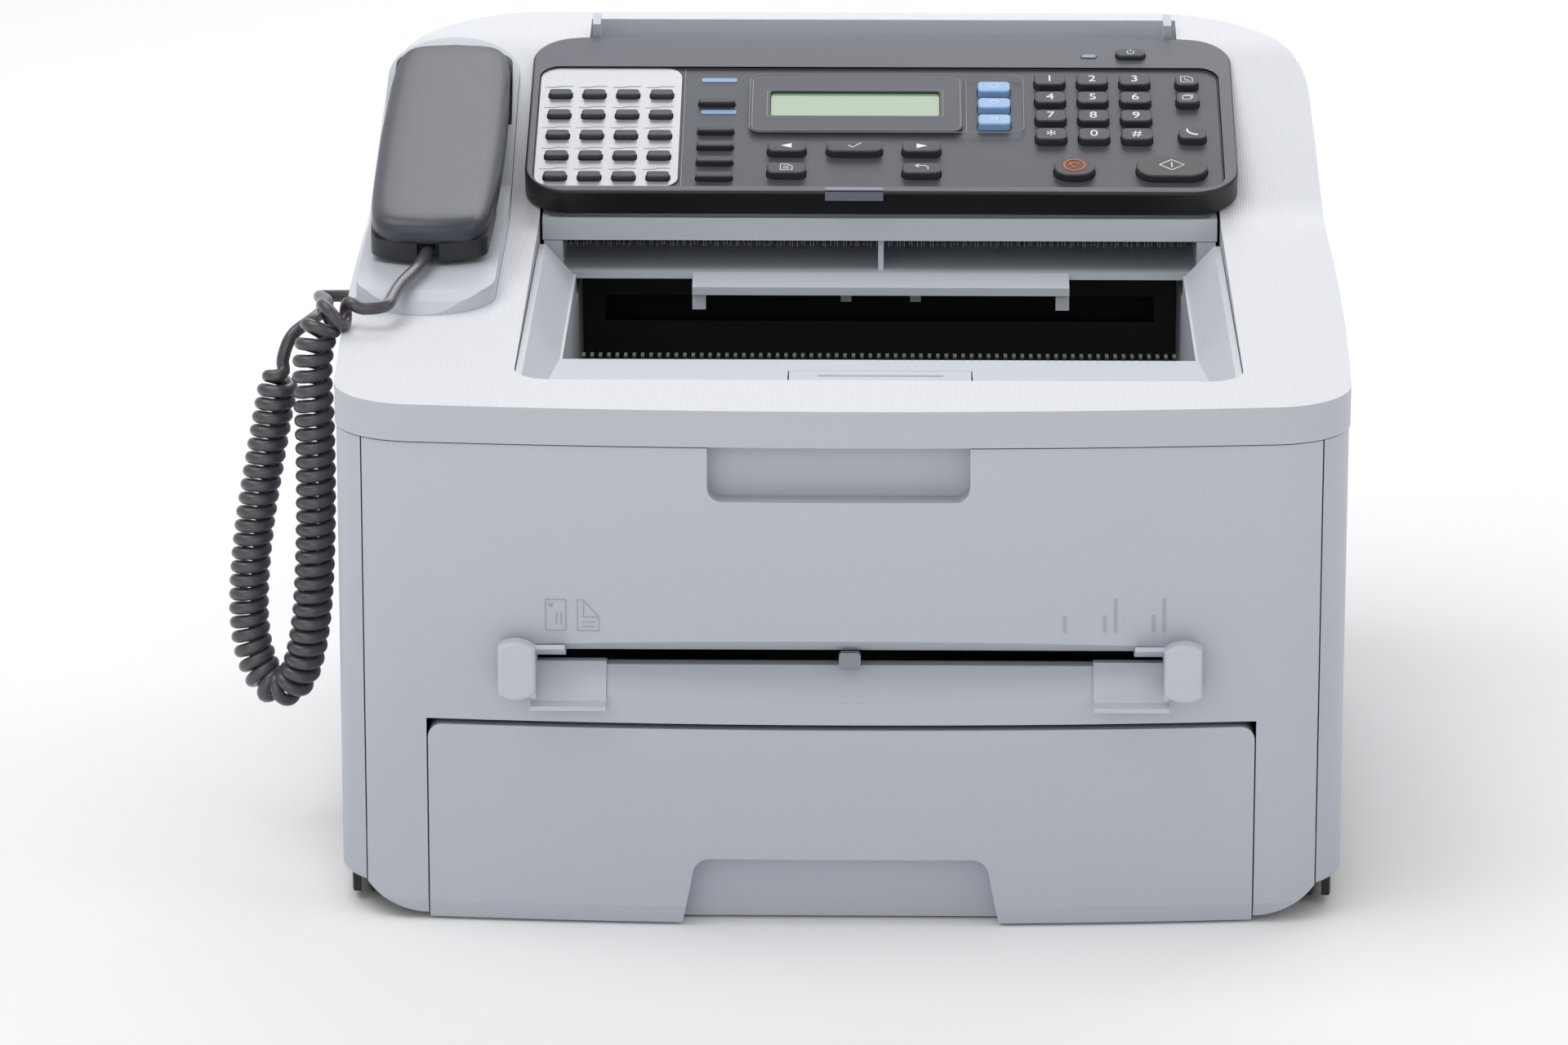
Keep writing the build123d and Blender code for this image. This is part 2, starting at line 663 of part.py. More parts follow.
# ---------------------------------------------------------------- front cover and bypass slot
COVER_TOP = SEAM_Z - GAP
COVER_BOTTOM = 2.5
COVER_WALL = 3.0
GRIP_X = -1.0
GRIP_WIDTH = 90.0
GRIP_DEPTH = 10.0
GRIP_HEIGHT = 19.0
SLOT_BOTTOM = 93.0
SLOT_TOP = 98.5
LIP_OUT_BOTTOM = 82.0
LIP_OUT_TOP = 104.0
SLOT_FACE_Y = 9.5
SLOT_HALF = PAPER_WIDTH / 2 + 5.0
DRAWER_CLEARANCE = 2.0


def make_front_cover():
    """Front door: curved skin, grip pocket at the top, bypass slot, two legs."""
    top = COVER_TOP
    inner = COVER_HALF - 2.5
    back = FRONT + HINGE_Y + 4
    grip0, grip1 = GRIP_X - GRIP_WIDTH / 2, GRIP_X + GRIP_WIDTH / 2
    with BuildPart() as hollow:
        with BuildSketch(Plane.XY):
            add(outline(SKIN + COVER_WALL))
        extrude(amount=top + 1)
        add(box(-inner, inner, FRONT, back + 1, 0, top + 1), mode=Mode.INTERSECT)
        add(
            box(grip0 - 2, grip1 + 2, FRONT - 5, FRONT + GRIP_DEPTH + 2, top - GRIP_HEIGHT - 2, top + 2),
            mode=Mode.SUBTRACT,
        )
        add(
            box(SLOT_X - SLOT_HALF - 3, SLOT_X + SLOT_HALF + 3, FRONT - 5, FRONT + 15,
                LIP_OUT_BOTTOM - 3, LIP_OUT_TOP + 3),
            mode=Mode.SUBTRACT,
        )
    with BuildPart() as grip:
        with BuildSketch(Plane.XZ.offset(-FRONT + 5)):
            with Locations((GRIP_X, top - GRIP_HEIGHT / 2 + 3)):
                RectangleRounded(GRIP_WIDTH, GRIP_HEIGHT + 6, 5)
        extrude(amount=-5 - GRIP_DEPTH)
    slot = across(
        [(-5, LIP_OUT_BOTTOM - 3), (0.8, LIP_OUT_BOTTOM), (SLOT_FACE_Y, SLOT_BOTTOM), (20, SLOT_BOTTOM),
         (20, SLOT_TOP), (SLOT_FACE_Y, SLOT_TOP), (0.8, LIP_OUT_TOP), (-5, LIP_OUT_TOP + 3)],
        SLOT_X - SLOT_HALF, SLOT_X + SLOT_HALF,
    )
    drawer_gap = DRAWER_HALF + GAP
    pins = COVER_HALF - 2.5
    with BuildPart() as corner:
        with BuildSketch(Plane.XZ.offset(-FRONT + 5)):
            with BuildLine():
                ThreePointArc((-COVER_HALF, SIDE_BOTTOM), (-157, 6), (-DRAWER_HALF - 3, COVER_BOTTOM))
                Polyline(
                    (-DRAWER_HALF - 3, COVER_BOTTOM), (-DRAWER_HALF - 3, -5), (-HALF, -5),
                    (-HALF, SIDE_BOTTOM), (-COVER_HALF, SIDE_BOTTOM),
                )
            make_face()
        extrude(amount=-40)
    with BuildPart() as cover:
        add(shell_block(COVER_BOTTOM, top))
        add(box(-COVER_HALF, COVER_HALF, FRONT - 5, back, 0, top + 5), mode=Mode.INTERSECT)
        add(hollow.part, mode=Mode.SUBTRACT)
        add(grip.part, mode=Mode.SUBTRACT)
        add(slot, mode=Mode.SUBTRACT)
        drawer_top = CASSETTE_BOTTOM + CASSETTE_HEIGHT
        add(
            box(-drawer_gap, drawer_gap, FRONT - 5, back + 5, 0, drawer_top + DRAWER_CLEARANCE),
            mode=Mode.SUBTRACT,
        )
        add(corner.part, mode=Mode.SUBTRACT)
        add(mirror(corner.part, about=Plane.YZ), mode=Mode.SUBTRACT)
        add(rod(-pins, -LUG_X0 + 1, HINGE_Y, HINGE_Z, HINGE_PIN))
        add(rod(LUG_X0 - 1, pins, HINGE_Y, HINGE_Z, HINGE_PIN))
    return cover.part


def make_bypass_guide(side):
    """Sheet guide of the bypass slot: two flanges and a rounded knob."""
    face = SLOT_X + side * PAPER_WIDTH / 2
    knob = face + side * 7.0
    upper_flange = [
        (-2, 103.4), (-2, 101.8), (SLOT_FACE_Y - 1, 96.7), (13, 96.7), (13, 98.0), (SLOT_FACE_Y, 98.0),
    ]
    lower_flange = [
        (-3.2, 81.5), (0.2, 82.6), (SLOT_FACE_Y, 94.2), (13, 94.2), (13, 93.35), (SLOT_FACE_Y - 0.2, 93.35),
        (0.0, 81.9), (-3.2, 80.0),
    ]
    cheek = [
        (-2, 84), (-2, 103.4), (SLOT_FACE_Y - 1, 98.1), (13, 98.1), (13, 93.35), (SLOT_FACE_Y, 93.35),
    ]
    with BuildPart() as guide:
        with BuildSketch(Plane.XZ.offset(-FRONT - 0.8)):
            with Locations((knob, 94.5)):
                Circle(10.5)
            with Locations((knob + side * 14, 94.5)):
                Rectangle(16, 22, mode=Mode.SUBTRACT)
            with Locations((face - side * 10, 94.5)):
                Rectangle(20, 22, mode=Mode.SUBTRACT)
        extrude(amount=6)
        fillet(guide.faces().sort_by(Axis.Y)[0].edges(), 1.5)
        x0, x1 = sorted((face - side * 10, face + side * 2))
        add(across(upper_flange, x0, x1))
        x0, x1 = sorted((face - side * 24, face + side * 2))
        add(across(lower_flange, x0, x1))
        x0, x1 = sorted((face, face + side * 2))
        add(across(cheek, x0, x1))
    return guide.part


# ---------------------------------------------------------------- paper cassette
CASSETTE_WALL = 2.5
LIFT_Y0 = 40.0
LIFT_Y1 = 190.0
LIFT_Z = 14.0
GUIDE_ROOM = 24.0


def make_cassette():
    """Paper drawer: curved front with a grip notch, and an open tray behind it."""
    floor = 8.0
    top = CASSETTE_BOTTOM + CASSETTE_HEIGHT
    tray_back = FRONT + 20 + CASSETTE_LENGTH
    with BuildPart() as face:
        with BuildSketch(Plane.XZ.offset(-FRONT + 5)):
            with Locations((0, top / 2 - 10)):
                RectangleRounded(2 * DRAWER_HALF, top + 20, 5)
        extrude(amount=-25)
    with BuildPart() as notch:
        with BuildSketch(Plane.XZ.offset(-FRONT + 5)) as grip:
            Trapezoid(120, 50, 79)
            fillet(grip.vertices().sort_by(Axis.Y)[-2:], 6)
        extrude(amount=-5 - 11.5)
    with BuildPart() as drawer:
        add(shell_block(CASSETTE_BOTTOM, top))
        add(face.part, mode=Mode.INTERSECT)
        add(notch.part, mode=Mode.SUBTRACT)
        add(box(-DRAWER_HALF + 3, DRAWER_HALF - 3, FRONT + 13, FRONT + 17.5, 8, top - 3), mode=Mode.SUBTRACT)
        add(box(-CASSETTE_HALF, CASSETTE_HALF, FRONT + 19, tray_back, floor, TRAY_TOP))
        for side in (-1, 1):
            x0, x1 = sorted((side * (CASSETTE_HALF - 1), side * RAIL_HALF))
            add(box(x0, x1, FRONT + 30, tray_back, RAIL_Z, RAIL_Z + 3))
        add(
            box(
                -CASSETTE_HALF + CASSETTE_WALL, CASSETTE_HALF - CASSETTE_WALL,
                FRONT + 20 + CASSETTE_WALL, tray_back - CASSETTE_WALL,
                floor + CASSETTE_WALL, TRAY_TOP + 5,
            ),
            mode=Mode.SUBTRACT,
        )
    return drawer.part


def make_lift_plate():
    """Plate that lifts the front of the paper stack, hinged at its rear edge."""
    half = PAPER_WIDTH / 2 - 12
    with BuildPart() as plate:
        add(box(-half, half, FRONT + LIFT_Y0, FRONT + LIFT_Y1, LIFT_Z, LIFT_Z + 1.5))
        add(box(-30, 30, FRONT + LIFT_Y0 + 6, FRONT + LIFT_Y0 + 26, LIFT_Z + 1.5, LIFT_Z + 2.3))
        for side in (-1, 1):
            x0, x1 = sorted((side * (half - GUIDE_ROOM), side * (half + 1)))
            add(box(x0, x1, FRONT + 86, FRONT + 174, 0, 40), mode=Mode.SUBTRACT)
        add(rod(-half, half, LIFT_Y1, LIFT_Z + 0.5, 1.8))
    return plate.part


def make_cassette_guide(side):
    """Width guide of the paper drawer: a foot on the floor and an upright plate."""
    face = side * PAPER_WIDTH / 2
    x0, x1 = sorted((face, face + side * 2))
    foot0, foot1 = sorted((face, face + side * 13))
    with BuildPart() as guide:
        add(box(x0, x1, FRONT + 90, FRONT + 170, 11, TRAY_TOP - 6))
        add(box(foot0, foot1, FRONT + 115, FRONT + 145, 11, 13))
    return guide.part


# ---------------------------------------------------------------- control panel
FIELD_DEPTH = 1.0
PLATE_THICKNESS = 1.6
FIELD_LEFT = -130.0
FIELD_RIGHT = 128.0
FIELD_BOTTOM = 4.0
FIELD_TOP = 91.0
TUB_INSET = 8.5
TUB_DEPTH = 11.0
KEY_FOOT = 5.0

DIGITS = ("1", "2", "3", "4", "5", "6", "7", "8", "9", "star", "0", "hash")
DIGIT_ORIGIN = (63.7, 79.7)
DIGIT_PITCH = (16.1, 13.35)
DIGIT_SIZE = (11.6, 8.4)
ONE_TOUCH_ORIGIN = (-121.6, 70.2)
ONE_TOUCH_PITCH = (12.8, 14.85)
FUNCTION_T = (64.4, 44.0, 32.9, 21.8, 10.8)


def key_layout():
    """Every key node with its (x, t, width, depth, corner) places on the panel."""
    keys = {}
    for index, name in enumerate(DIGITS):
        column, row = index % 3, index // 3
        x = DIGIT_ORIGIN[0] + column * DIGIT_PITCH[0]
        t = DIGIT_ORIGIN[1] - row * DIGIT_PITCH[1]
        keys[f"key_{name}"] = [(x, t, *DIGIT_SIZE, 2.5)]
    keys["start_key"] = [(108.3, 16.6, 26.5, 14.5, 7.0)]
    keys["stop_key"] = [(72.0, 16.2, 15.2, 13.0, 6.0)]
    keys["power_key"] = [(94.9, 99.6, 11.0, 5.6, 2.2)]
    keys["ok_key"] = [(-10.1, 30.2, 21.0, 7.6, 3.0)]
    keys["menu_keys"] = [(x, t, 14.4, 7.6, 2.6) for x in (-35.4, 15.0) for t in (30.2, 14.6)]
    keys["blue_keys"] = [(42.5, t, 12.2, 7.2, 1.6) for t in (74.0, 62.0, 50.0)]
    keys["call_keys"] = [
        (115.7, 79.4, 8.6, 8.0, 2.4), (115.7, 66.2, 8.6, 8.0, 2.4), (116.7, 40.6, 10.2, 8.6, 2.6),
    ]
    keys["function_keys"] = [(-62.3, t, 13.6, 3.6, 1.2) for t in FUNCTION_T]
    keys["one_touch_keys"] = [
        (ONE_TOUCH_ORIGIN[0] + column * ONE_TOUCH_PITCH[0], ONE_TOUCH_ORIGIN[1] - row * ONE_TOUCH_PITCH[1],
         8.4, 4.4, 1.2)
        for row in range(5) for column in range(4)
    ]
    return keys


KEYS = key_layout()


def key_holes(clearance, names):
    """Plan of the holes for the named keys."""
    with BuildSketch() as holes:
        for name in names:
            for x, t, width, depth, corner in KEYS[name]:
                with Locations((x, t)):
                    RectangleRounded(
                        width + 2 * clearance, depth + 2 * clearance,
                        min(corner + clearance, depth / 2 + clearance - 0.01),
                    )
    return holes.sketch


def make_panel_shell():
    """Dark bezel of the control panel: a wedge over the cover and a tub below."""
    with BuildPart() as shell:
        with BuildSketch(PANEL.offset(-14)):
            with Locations((0, PANEL_DEPTH / 2)):
                RectangleRounded(PANEL_WIDTH, PANEL_DEPTH, 17)
        extrude(amount=14)
        fillet(shell.faces().sort_by(Axis.Z)[-1].edges(), 1.2)
        add(
            across([(238, 192.5), (248, 195.3), (262, 200.2), (352, 239), (370, 246), (370, 150), (238, 150)],
                   -WIDTH, WIDTH),
            mode=Mode.SUBTRACT,
        )
        with BuildSketch(PANEL.offset(-TUB_DEPTH)):
            with Locations((0, PANEL_DEPTH / 2)):
                RectangleRounded(PANEL_WIDTH - 2 * TUB_INSET, PANEL_DEPTH - 10, 10)
        extrude(amount=TUB_DEPTH - 3)
        with BuildSketch(PANEL.offset(-TUB_DEPTH + 1.5)):
            with Locations((0, PANEL_DEPTH / 2)):
                RectangleRounded(PANEL_WIDTH - 2 * TUB_INSET - 4, PANEL_DEPTH - 14, 8)
        extrude(amount=TUB_DEPTH - 1.5 - FIELD_DEPTH - PLATE_THICKNESS - 0.8, mode=Mode.SUBTRACT)
        with BuildSketch(PANEL.offset(-FIELD_DEPTH - PLATE_THICKNESS)):
            with Locations(((FIELD_LEFT + FIELD_RIGHT) / 2, (FIELD_TOP + FIELD_BOTTOM) / 2)):
                RectangleRounded(FIELD_RIGHT - FIELD_LEFT, FIELD_TOP - FIELD_BOTTOM, 8)
        extrude(amount=FIELD_DEPTH + PLATE_THICKNESS + 1, mode=Mode.SUBTRACT)
        with BuildSketch(PANEL.offset(-TUB_DEPTH + 1.5)):
            add(key_holes(FIT + 0.6, [name for name in KEYS if name != "power_key"]))
            add(key_holes(FIT, ["power_key"]))
        extrude(amount=TUB_DEPTH, mode=Mode.SUBTRACT)
    return shell.part


def make_faceplate():
    """Inner field of the panel, with a hole for each key and the display."""
    with BuildPart() as plate:
        with BuildSketch(PANEL.offset(-FIELD_DEPTH - PLATE_THICKNESS)):
            with Locations(((FIELD_LEFT + FIELD_RIGHT) / 2, (FIELD_TOP + FIELD_BOTTOM) / 2)):
                RectangleRounded(FIELD_RIGHT - FIELD_LEFT - 0.6, FIELD_TOP - FIELD_BOTTOM - 0.6, 7.7)
            add(key_holes(FIT, [name for name in KEYS if name != "power_key"]), mode=Mode.SUBTRACT)
        extrude(amount=PLATE_THICKNESS)
        with BuildSketch(PANEL.offset(-FIELD_DEPTH)):
            with Locations((-9.5, 63)):
                RectangleRounded(80, 40, 4)
        extrude(amount=1.6)
        with BuildSketch(PANEL.offset(-FIELD_DEPTH - 0.6)):
            with Locations((-10, 63)):
                RectangleRounded(64, 18, 1.5)
        extrude(amount=4, mode=Mode.SUBTRACT)
    return plate.part


def make_display():
    """Liquid crystal display in its window."""
    with BuildPart() as display:
        with BuildSketch(PANEL.offset(-FIELD_DEPTH - 0.6)):
            with Locations((-10, 63)):
                RectangleRounded(63.6, 17.6, 1.3)
        extrude(amount=1.2)
    return display.part


def make_key(places, name):
    """One key or a bank of keys: a cap with a rounded top and a flange below."""
    top = 1.8
    if name in ("function_keys", "one_touch_keys"):
        top = 1.2
    with BuildPart() as key:
        with BuildSketch(PANEL.offset(-KEY_FOOT)):
            for x, t, width, depth, corner in places:
                with Locations((x, t)):
                    RectangleRounded(width, depth, corner)
        extrude(amount=KEY_FOOT + top)
        tops = [face for face in key.faces() if PANEL.to_local_coords(face.center()).Z > top - 0.01]
        fillet([edge for face in tops for edge in face.edges()], 0.6)
    return key.part


def make_status_lens():
    """Status lamp's lens on the front lip."""
    with BuildPart() as lens:
        with BuildSketch(PANEL.offset(0.02)):
            with Locations((-10, 1.6)):
                Rectangle(21.6, 2.0)
        extrude(amount=0.5)
        with BuildSketch(Plane.XZ.offset(-FRONT - PANEL_FRONT_SETBACK + 0.02)):
            with Locations((PANEL_X - 10, PANEL_FRONT_Z - 1.6)):
                Rectangle(21.6, 3.2)
        extrude(amount=0.5)
    return lens.part


# ---------------------------------------------------------------- handset and cradle
HANDSET_SPLIT = -8.0
GRIP_THICKNESS = 13.0
MOUTH_CUP = 15.0
EAR_CUP = 20.0
CUP_LENGTH = 46.0
CORD_DIAMETER = 4.6
JACK_WIDTH = 8.0
JACK_DEPTH = 7.0


def handset_plan(grow=0.0):
    """Slightly tapered plan of the handset with softly curved ends."""
    half = HANDSET_WIDTH / 2 + grow
    length = HANDSET_LENGTH / 2 + grow
    with BuildSketch() as plan:
        with BuildLine():
            ThreePointArc((-half + 2, -length + 7), (0, -length), (half - 2, -length + 7))
            ThreePointArc((half - 2, -length + 7), (half, 0), (half - 2, length - 5))
            ThreePointArc((half - 2, length - 5), (0, length), (-half + 2, length - 5))
            ThreePointArc((-half + 2, length - 5), (-half, 0), (-half + 2, -length + 7))
        make_face()
        fillet(plan.vertices(), 7)
    return plan.sketch


def handset_slice(low, high, grow=0.0):
    """Block of the handset's plan between two levels of its own frame."""
    with BuildPart() as block:
        with BuildSketch(HANDSET.offset(low)):
            add(handset_plan(grow))
        extrude(amount=high - low)
    return block.part


def handset_box(x, t0, t1, low, high):
    """Block in the handset's frame, centred across it."""
    with BuildPart() as block:
        with BuildSketch(HANDSET.offset(low)):
            with Locations((0, (t0 + t1) / 2)):
                Rectangle(x, t1 - t0)
        extrude(amount=high - low)
    return block.part


def jack_notch():
    """Notch for the cord's plug in the front end of the handset."""
    front = -HANDSET_LENGTH / 2
    return handset_box(JACK_WIDTH, front - 1, front + JACK_DEPTH, -MOUTH_CUP - 1, -8.0)


def make_handset_upper():
    """Upper shell of the handset, rounded along its top edge."""
    with BuildPart() as shell:
        add(handset_slice(HANDSET_SPLIT, 0))
        tops = [face for face in shell.faces() if HANDSET.to_local_coords(face.center()).Z > -0.01]
        fillet([edge for face in tops for edge in face.edges()], 2.5)
        add(handset_box(HANDSET_WIDTH - 8, -80, 80, HANDSET_SPLIT - 1, -2.5), mode=Mode.SUBTRACT)
    return shell.part


def handset_under(grow=0.0):
    """Region left free under the handset between its two cups."""
    inner = HANDSET_LENGTH / 2 - CUP_LENGTH + grow
    return handset_box(HANDSET_WIDTH + 20, -inner, inner, -60, -GRIP_THICKNESS + grow)


def make_handset_lower():
    """Lower shell: mouth cup in front, ear cup behind, grip between them."""
    half = HANDSET_LENGTH / 2
    with BuildPart() as shell:
        add(handset_slice(-EAR_CUP, HANDSET_SPLIT - 0.05))
        add(handset_box(HANDSET_WIDTH + 20, -half - 5, 0, -60, -MOUTH_CUP), mode=Mode.SUBTRACT)
        add(handset_under(), mode=Mode.SUBTRACT)
        add(jack_notch(), mode=Mode.SUBTRACT)
        inside = handset_box(HANDSET_WIDTH - 8, -80, 80, -GRIP_THICKNESS + 2.5, HANDSET_SPLIT + 1)
        add(inside, mode=Mode.SUBTRACT)
        with BuildSketch(HANDSET.offset(-EAR_CUP - 1)):
            with Locations((0, half - CUP_LENGTH / 2)):
                with PolarLocations(6, 6):
                    Circle(1.2)
                with PolarLocations(11, 10):
                    Circle(1.2)
        extrude(amount=2.2, mode=Mode.SUBTRACT)
    return shell.part


HOOK_T = HANDSET_LENGTH * 3 / 19


def make_cradle():
    """Pale tray that the handset rests in, with a raised round lip in front."""
    half = HANDSET_LENGTH / 2
    with BuildPart() as cradle:
        with BuildSketch(Plane.XY.offset(SEAM_Z)):
            add(cradle_plan(grow=-0.1))
        extrude(amount=80)
        add(
            across(
                [(110, 150), (117, 189.5), (121, 193.5), (128, 196), (150, 197.5), (215, 199.5), (262, 202.5),
                 (340, 235), (360, 242), (360, 150)],
                -WIDTH, WIDTH,
            ),
            mode=Mode.INTERSECT,
        )
        with BuildPart(mode=Mode.PRIVATE) as well:
            add(handset_slice(-EAR_CUP - 0.5, 30, grow=1.0))
            add(handset_box(HANDSET_WIDTH + 20, -half - 5, 0, -60, -MOUTH_CUP - 0.5), mode=Mode.SUBTRACT)
            add(handset_under(grow=-1.0), mode=Mode.SUBTRACT)
        add(well.part, mode=Mode.SUBTRACT)
        add(handset_box(JACK_WIDTH + 3, -half - 40, -half + 2, -MOUTH_CUP + 1.5, 30), mode=Mode.SUBTRACT)
        add(handset_box(9, HOOK_T - 6, HOOK_T + 6, -60, 0), mode=Mode.SUBTRACT)
        reach = SOCKET_SIZE / 2 + GAP
        add(
            box(-HALF - 5, -HALF + 8, SOCKET_Y - reach, SOCKET_Y + reach, SEAM_Z - 1, SOCKET_Z + reach),
            mode=Mode.SUBTRACT,
        )
    return cradle.part


def make_hook_switch():
    """Hook switch: a button that rises through the cradle when the handset lifts."""
    with BuildPart() as switch:
        add(handset_box(8, HOOK_T - 5, HOOK_T + 5, -22, -GRIP_THICKNESS - 0.4))
    return switch.part


# ---------------------------------------------------------------- handset cord
COIL_DIAMETER = 14.6
JACK_POINT = HANDSET.from_local_coords(Vector(0, -HANDSET_LENGTH / 2 + JACK_DEPTH - 0.5, -11.6))
LEAD_ROUTE = [
    tuple(JACK_POINT),
    (-151.2, FRONT + 149, 201.7),
    (-154.0, FRONT + 136, 200.6),
    (-158.0, FRONT + 123, 199.4),
    (-160.0, FRONT + 110, 198.0),
    (-161.5, FRONT + 99, 196.5),
    (-169.5, FRONT + 99, 196.5),
]
COIL_ROUTE = [
    (-169.5, FRONT + 99, 196.5),
    (-181.0, FRONT + 99, 196.5),
    (-188.5, FRONT + 98, 183.0),
    (-187.0, FRONT + 97, 150.0),
    (-187.6, FRONT + 97, 110.0),
    (-190.0, FRONT + 98, 77.0),
    (-195.5, FRONT + 100, 57.0),
    (-206.0, FRONT + 104, 54.0),
    (-213.5, FRONT + 107, 73.0),
    (-212.0, FRONT + 108, 105.0),
    (-206.0, FRONT + 110, 141.0),
    (-199.5, FRONT + 112, 174.0),
]
TAIL_ROUTE = [
    (-199.5, FRONT + 112, 174.0),
    (-197.8, FRONT + 112.5, 182.6),
    (-190.0, FRONT + 120, 186.5),
    (-185.5, FRONT + 133, 187.5),
    (-185.5, FRONT + 148, 187.0),
    (-190.5, FRONT + 163, 184.5),
    (-190.0, SOCKET_Y, SOCKET_Z),
    (SOCKET_FACE, SOCKET_Y, SOCKET_Z),
]


def corner_radii(points):
    """Largest even arc at each corner of a route."""
    steps = [Vector(*b) - Vector(*a) for a, b in zip(points, points[1:])]
    radii = []
    for before, after in zip(steps, steps[1:]):
        half_turn = math.radians(before.get_angle(after)) / 2
        radii.append(0.45 * min(before.length, after.length) / math.tan(half_turn))
    return radii


def make_tube(points, diameter, name):
    """Round tube along straight runs joined by tangent arcs."""
    radii = corner_radii(points)
    print(name, "radii", [round(radius, 1) for radius in radii])
    with BuildPart() as tube:
        with BuildLine() as path:
            FilletPolyline(*points, radius=radii)
        with BuildSketch(Plane(origin=path.line @ 0, z_dir=path.line % 0)):
            Circle(diameter / 2)
        sweep(path=path.line)
    length = path.wires()[0].length
    share = tube.part.volume / (math.pi * diameter**2 / 4 * length)
    print(name, "length", round(length, 1), "volume over section times length", round(share, 4))
    return tube.part


def make_all():
    """Build and save every piece."""
    save(make_top_cover(), "top_cover")
    left = make_side_cover()
    save(left, "left_side_cover")
    save(mirror(left, about=Plane.YZ), "right_side_cover")
    save(make_rear_cover(), "rear_cover")
    save(make_base_frame(), "base_frame")
    save(make_feet(), "rubber_feet")
    save(make_laser_unit(), "laser_unit")
    save(make_toner_cartridge(), "toner_cartridge")
    save(make_pickup_roller(), "pickup_roller")
    save(make_fuser_unit(), "fuser_unit")
    save(make_heat_roller(), "heat_roller")
    save(make_main_board(), "main_board")
    save(make_power_supply(), "power_supply")
    save(make_output_tray(), "output_tray")
    save(make_output_flap(), "output_flap")
    save(make_exit_guide(), "exit_guide")
    save(make_feeder_frame(), "feeder_frame")
    save(make_document_exit(), "document_exit")
    save(make_document_guide(-1), "document_guide_left")
    save(make_document_guide(1), "document_guide_right")

    save(make_front_cover(), "front_cover")
    save(make_bypass_guide(-1), "bypass_guide_left")
    save(make_bypass_guide(1), "bypass_guide_right")
    save(make_cassette(), "paper_cassette")
    save(make_lift_plate(), "lift_plate")
    save(make_cassette_guide(-1), "cassette_guide_left")
    save(make_cassette_guide(1), "cassette_guide_right")
    save(make_panel_shell(), "panel_shell")
    save(make_faceplate(), "panel_faceplate")
    save(make_display(), "display_window")
    for name, places in KEYS.items():
        save(make_key(places, name), name)
    save(make_status_lens(), "status_lens")
    save(make_cradle(), "handset_cradle")
    save(make_handset_upper(), "handset_upper_shell")
    save(make_handset_lower(), "handset_lower_shell")
    save(make_hook_switch(), "hook_switch")
    save(make_cord_socket(), "cord_socket")
    save(make_tube(LEAD_ROUTE, CORD_DIAMETER, "handset_cord_lead"), "handset_cord_lead")
    save(make_tube(COIL_ROUTE, COIL_DIAMETER, "handset_cord_coil"), "handset_cord_coil")
    save(make_tube(TAIL_ROUTE, CORD_DIAMETER, "handset_cord_tail"), "handset_cord_tail")


make_all()
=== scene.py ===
# %% [markdown]
# # Laser fax machine with a corded handset
#
# The machine's shells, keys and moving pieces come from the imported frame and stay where
# they are. This script gives them their plastics, prints the keys' marks, winds the curly
# cord and sets up a quiet studio round them.

# %% Load the frame
import bmesh
import bpy
import math
from mathutils import Matrix, Vector


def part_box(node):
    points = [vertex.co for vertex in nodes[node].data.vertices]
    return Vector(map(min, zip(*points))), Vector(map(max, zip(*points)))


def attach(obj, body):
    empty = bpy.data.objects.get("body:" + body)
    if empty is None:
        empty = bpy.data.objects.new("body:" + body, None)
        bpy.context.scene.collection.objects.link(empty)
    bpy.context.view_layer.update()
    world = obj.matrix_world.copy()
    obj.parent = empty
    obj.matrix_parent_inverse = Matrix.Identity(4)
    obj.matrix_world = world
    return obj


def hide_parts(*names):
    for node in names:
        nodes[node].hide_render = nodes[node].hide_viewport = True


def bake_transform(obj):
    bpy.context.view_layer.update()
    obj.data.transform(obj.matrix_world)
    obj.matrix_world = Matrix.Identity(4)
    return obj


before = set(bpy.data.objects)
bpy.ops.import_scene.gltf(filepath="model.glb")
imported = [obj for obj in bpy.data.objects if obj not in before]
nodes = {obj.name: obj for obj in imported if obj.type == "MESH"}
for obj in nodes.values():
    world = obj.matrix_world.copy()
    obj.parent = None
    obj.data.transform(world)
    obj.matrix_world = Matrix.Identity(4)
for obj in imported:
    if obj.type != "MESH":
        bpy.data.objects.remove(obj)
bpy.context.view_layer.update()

# %% [markdown]
# ## Places that everything else is measured from
#
# All lengths are in metres. The casing's front is the foremost point of the drawer, and the
# control panel is a tilted plane. A small helper turns a place on that plane, given in
# millimetres across and up the slope, into a point of the room, so that marks can be laid
# out on the panel as on a drawing board.

# %% Datum lines
MM = 0.001
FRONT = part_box("paper_cassette")[0][1] - 0.5 * MM
PANEL_TILT = math.radians(18.1)
PANEL_ORIGIN = Vector((13 * MM, FRONT + 245 * MM, 204.3 * MM))
PANEL_UP = Vector((0, math.cos(PANEL_TILT), math.sin(PANEL_TILT)))
PANEL_NORMAL = Vector((0, -math.sin(PANEL_TILT), math.cos(PANEL_TILT)))
PANEL_AXES = Matrix((Vector((1, 0, 0)), PANEL_UP, PANEL_NORMAL)).transposed()


def panel_matrix(x, t, height=0.0):
    """Placement on the control panel: x across, t up the slope, height above it, in mm."""
    spot = PANEL_ORIGIN + PANEL_AXES @ (Vector((x, t, height)) * MM)
    return Matrix.Translation(spot) @ PANEL_AXES.to_4x4()


print("front plane at y =", round(FRONT, 4))

# %% [markdown]
# ## Camera, floor and lights
#
# The machine is seen from a little above and almost straight on, with a long lens from far
# away, so that its sides stay nearly parallel. A perspective camera with no shift keeps
# every other view honest too. The light is one large soft box overhead, a big fill from the
# front left and a long strip at the back that draws the bright line along the cover's edge.

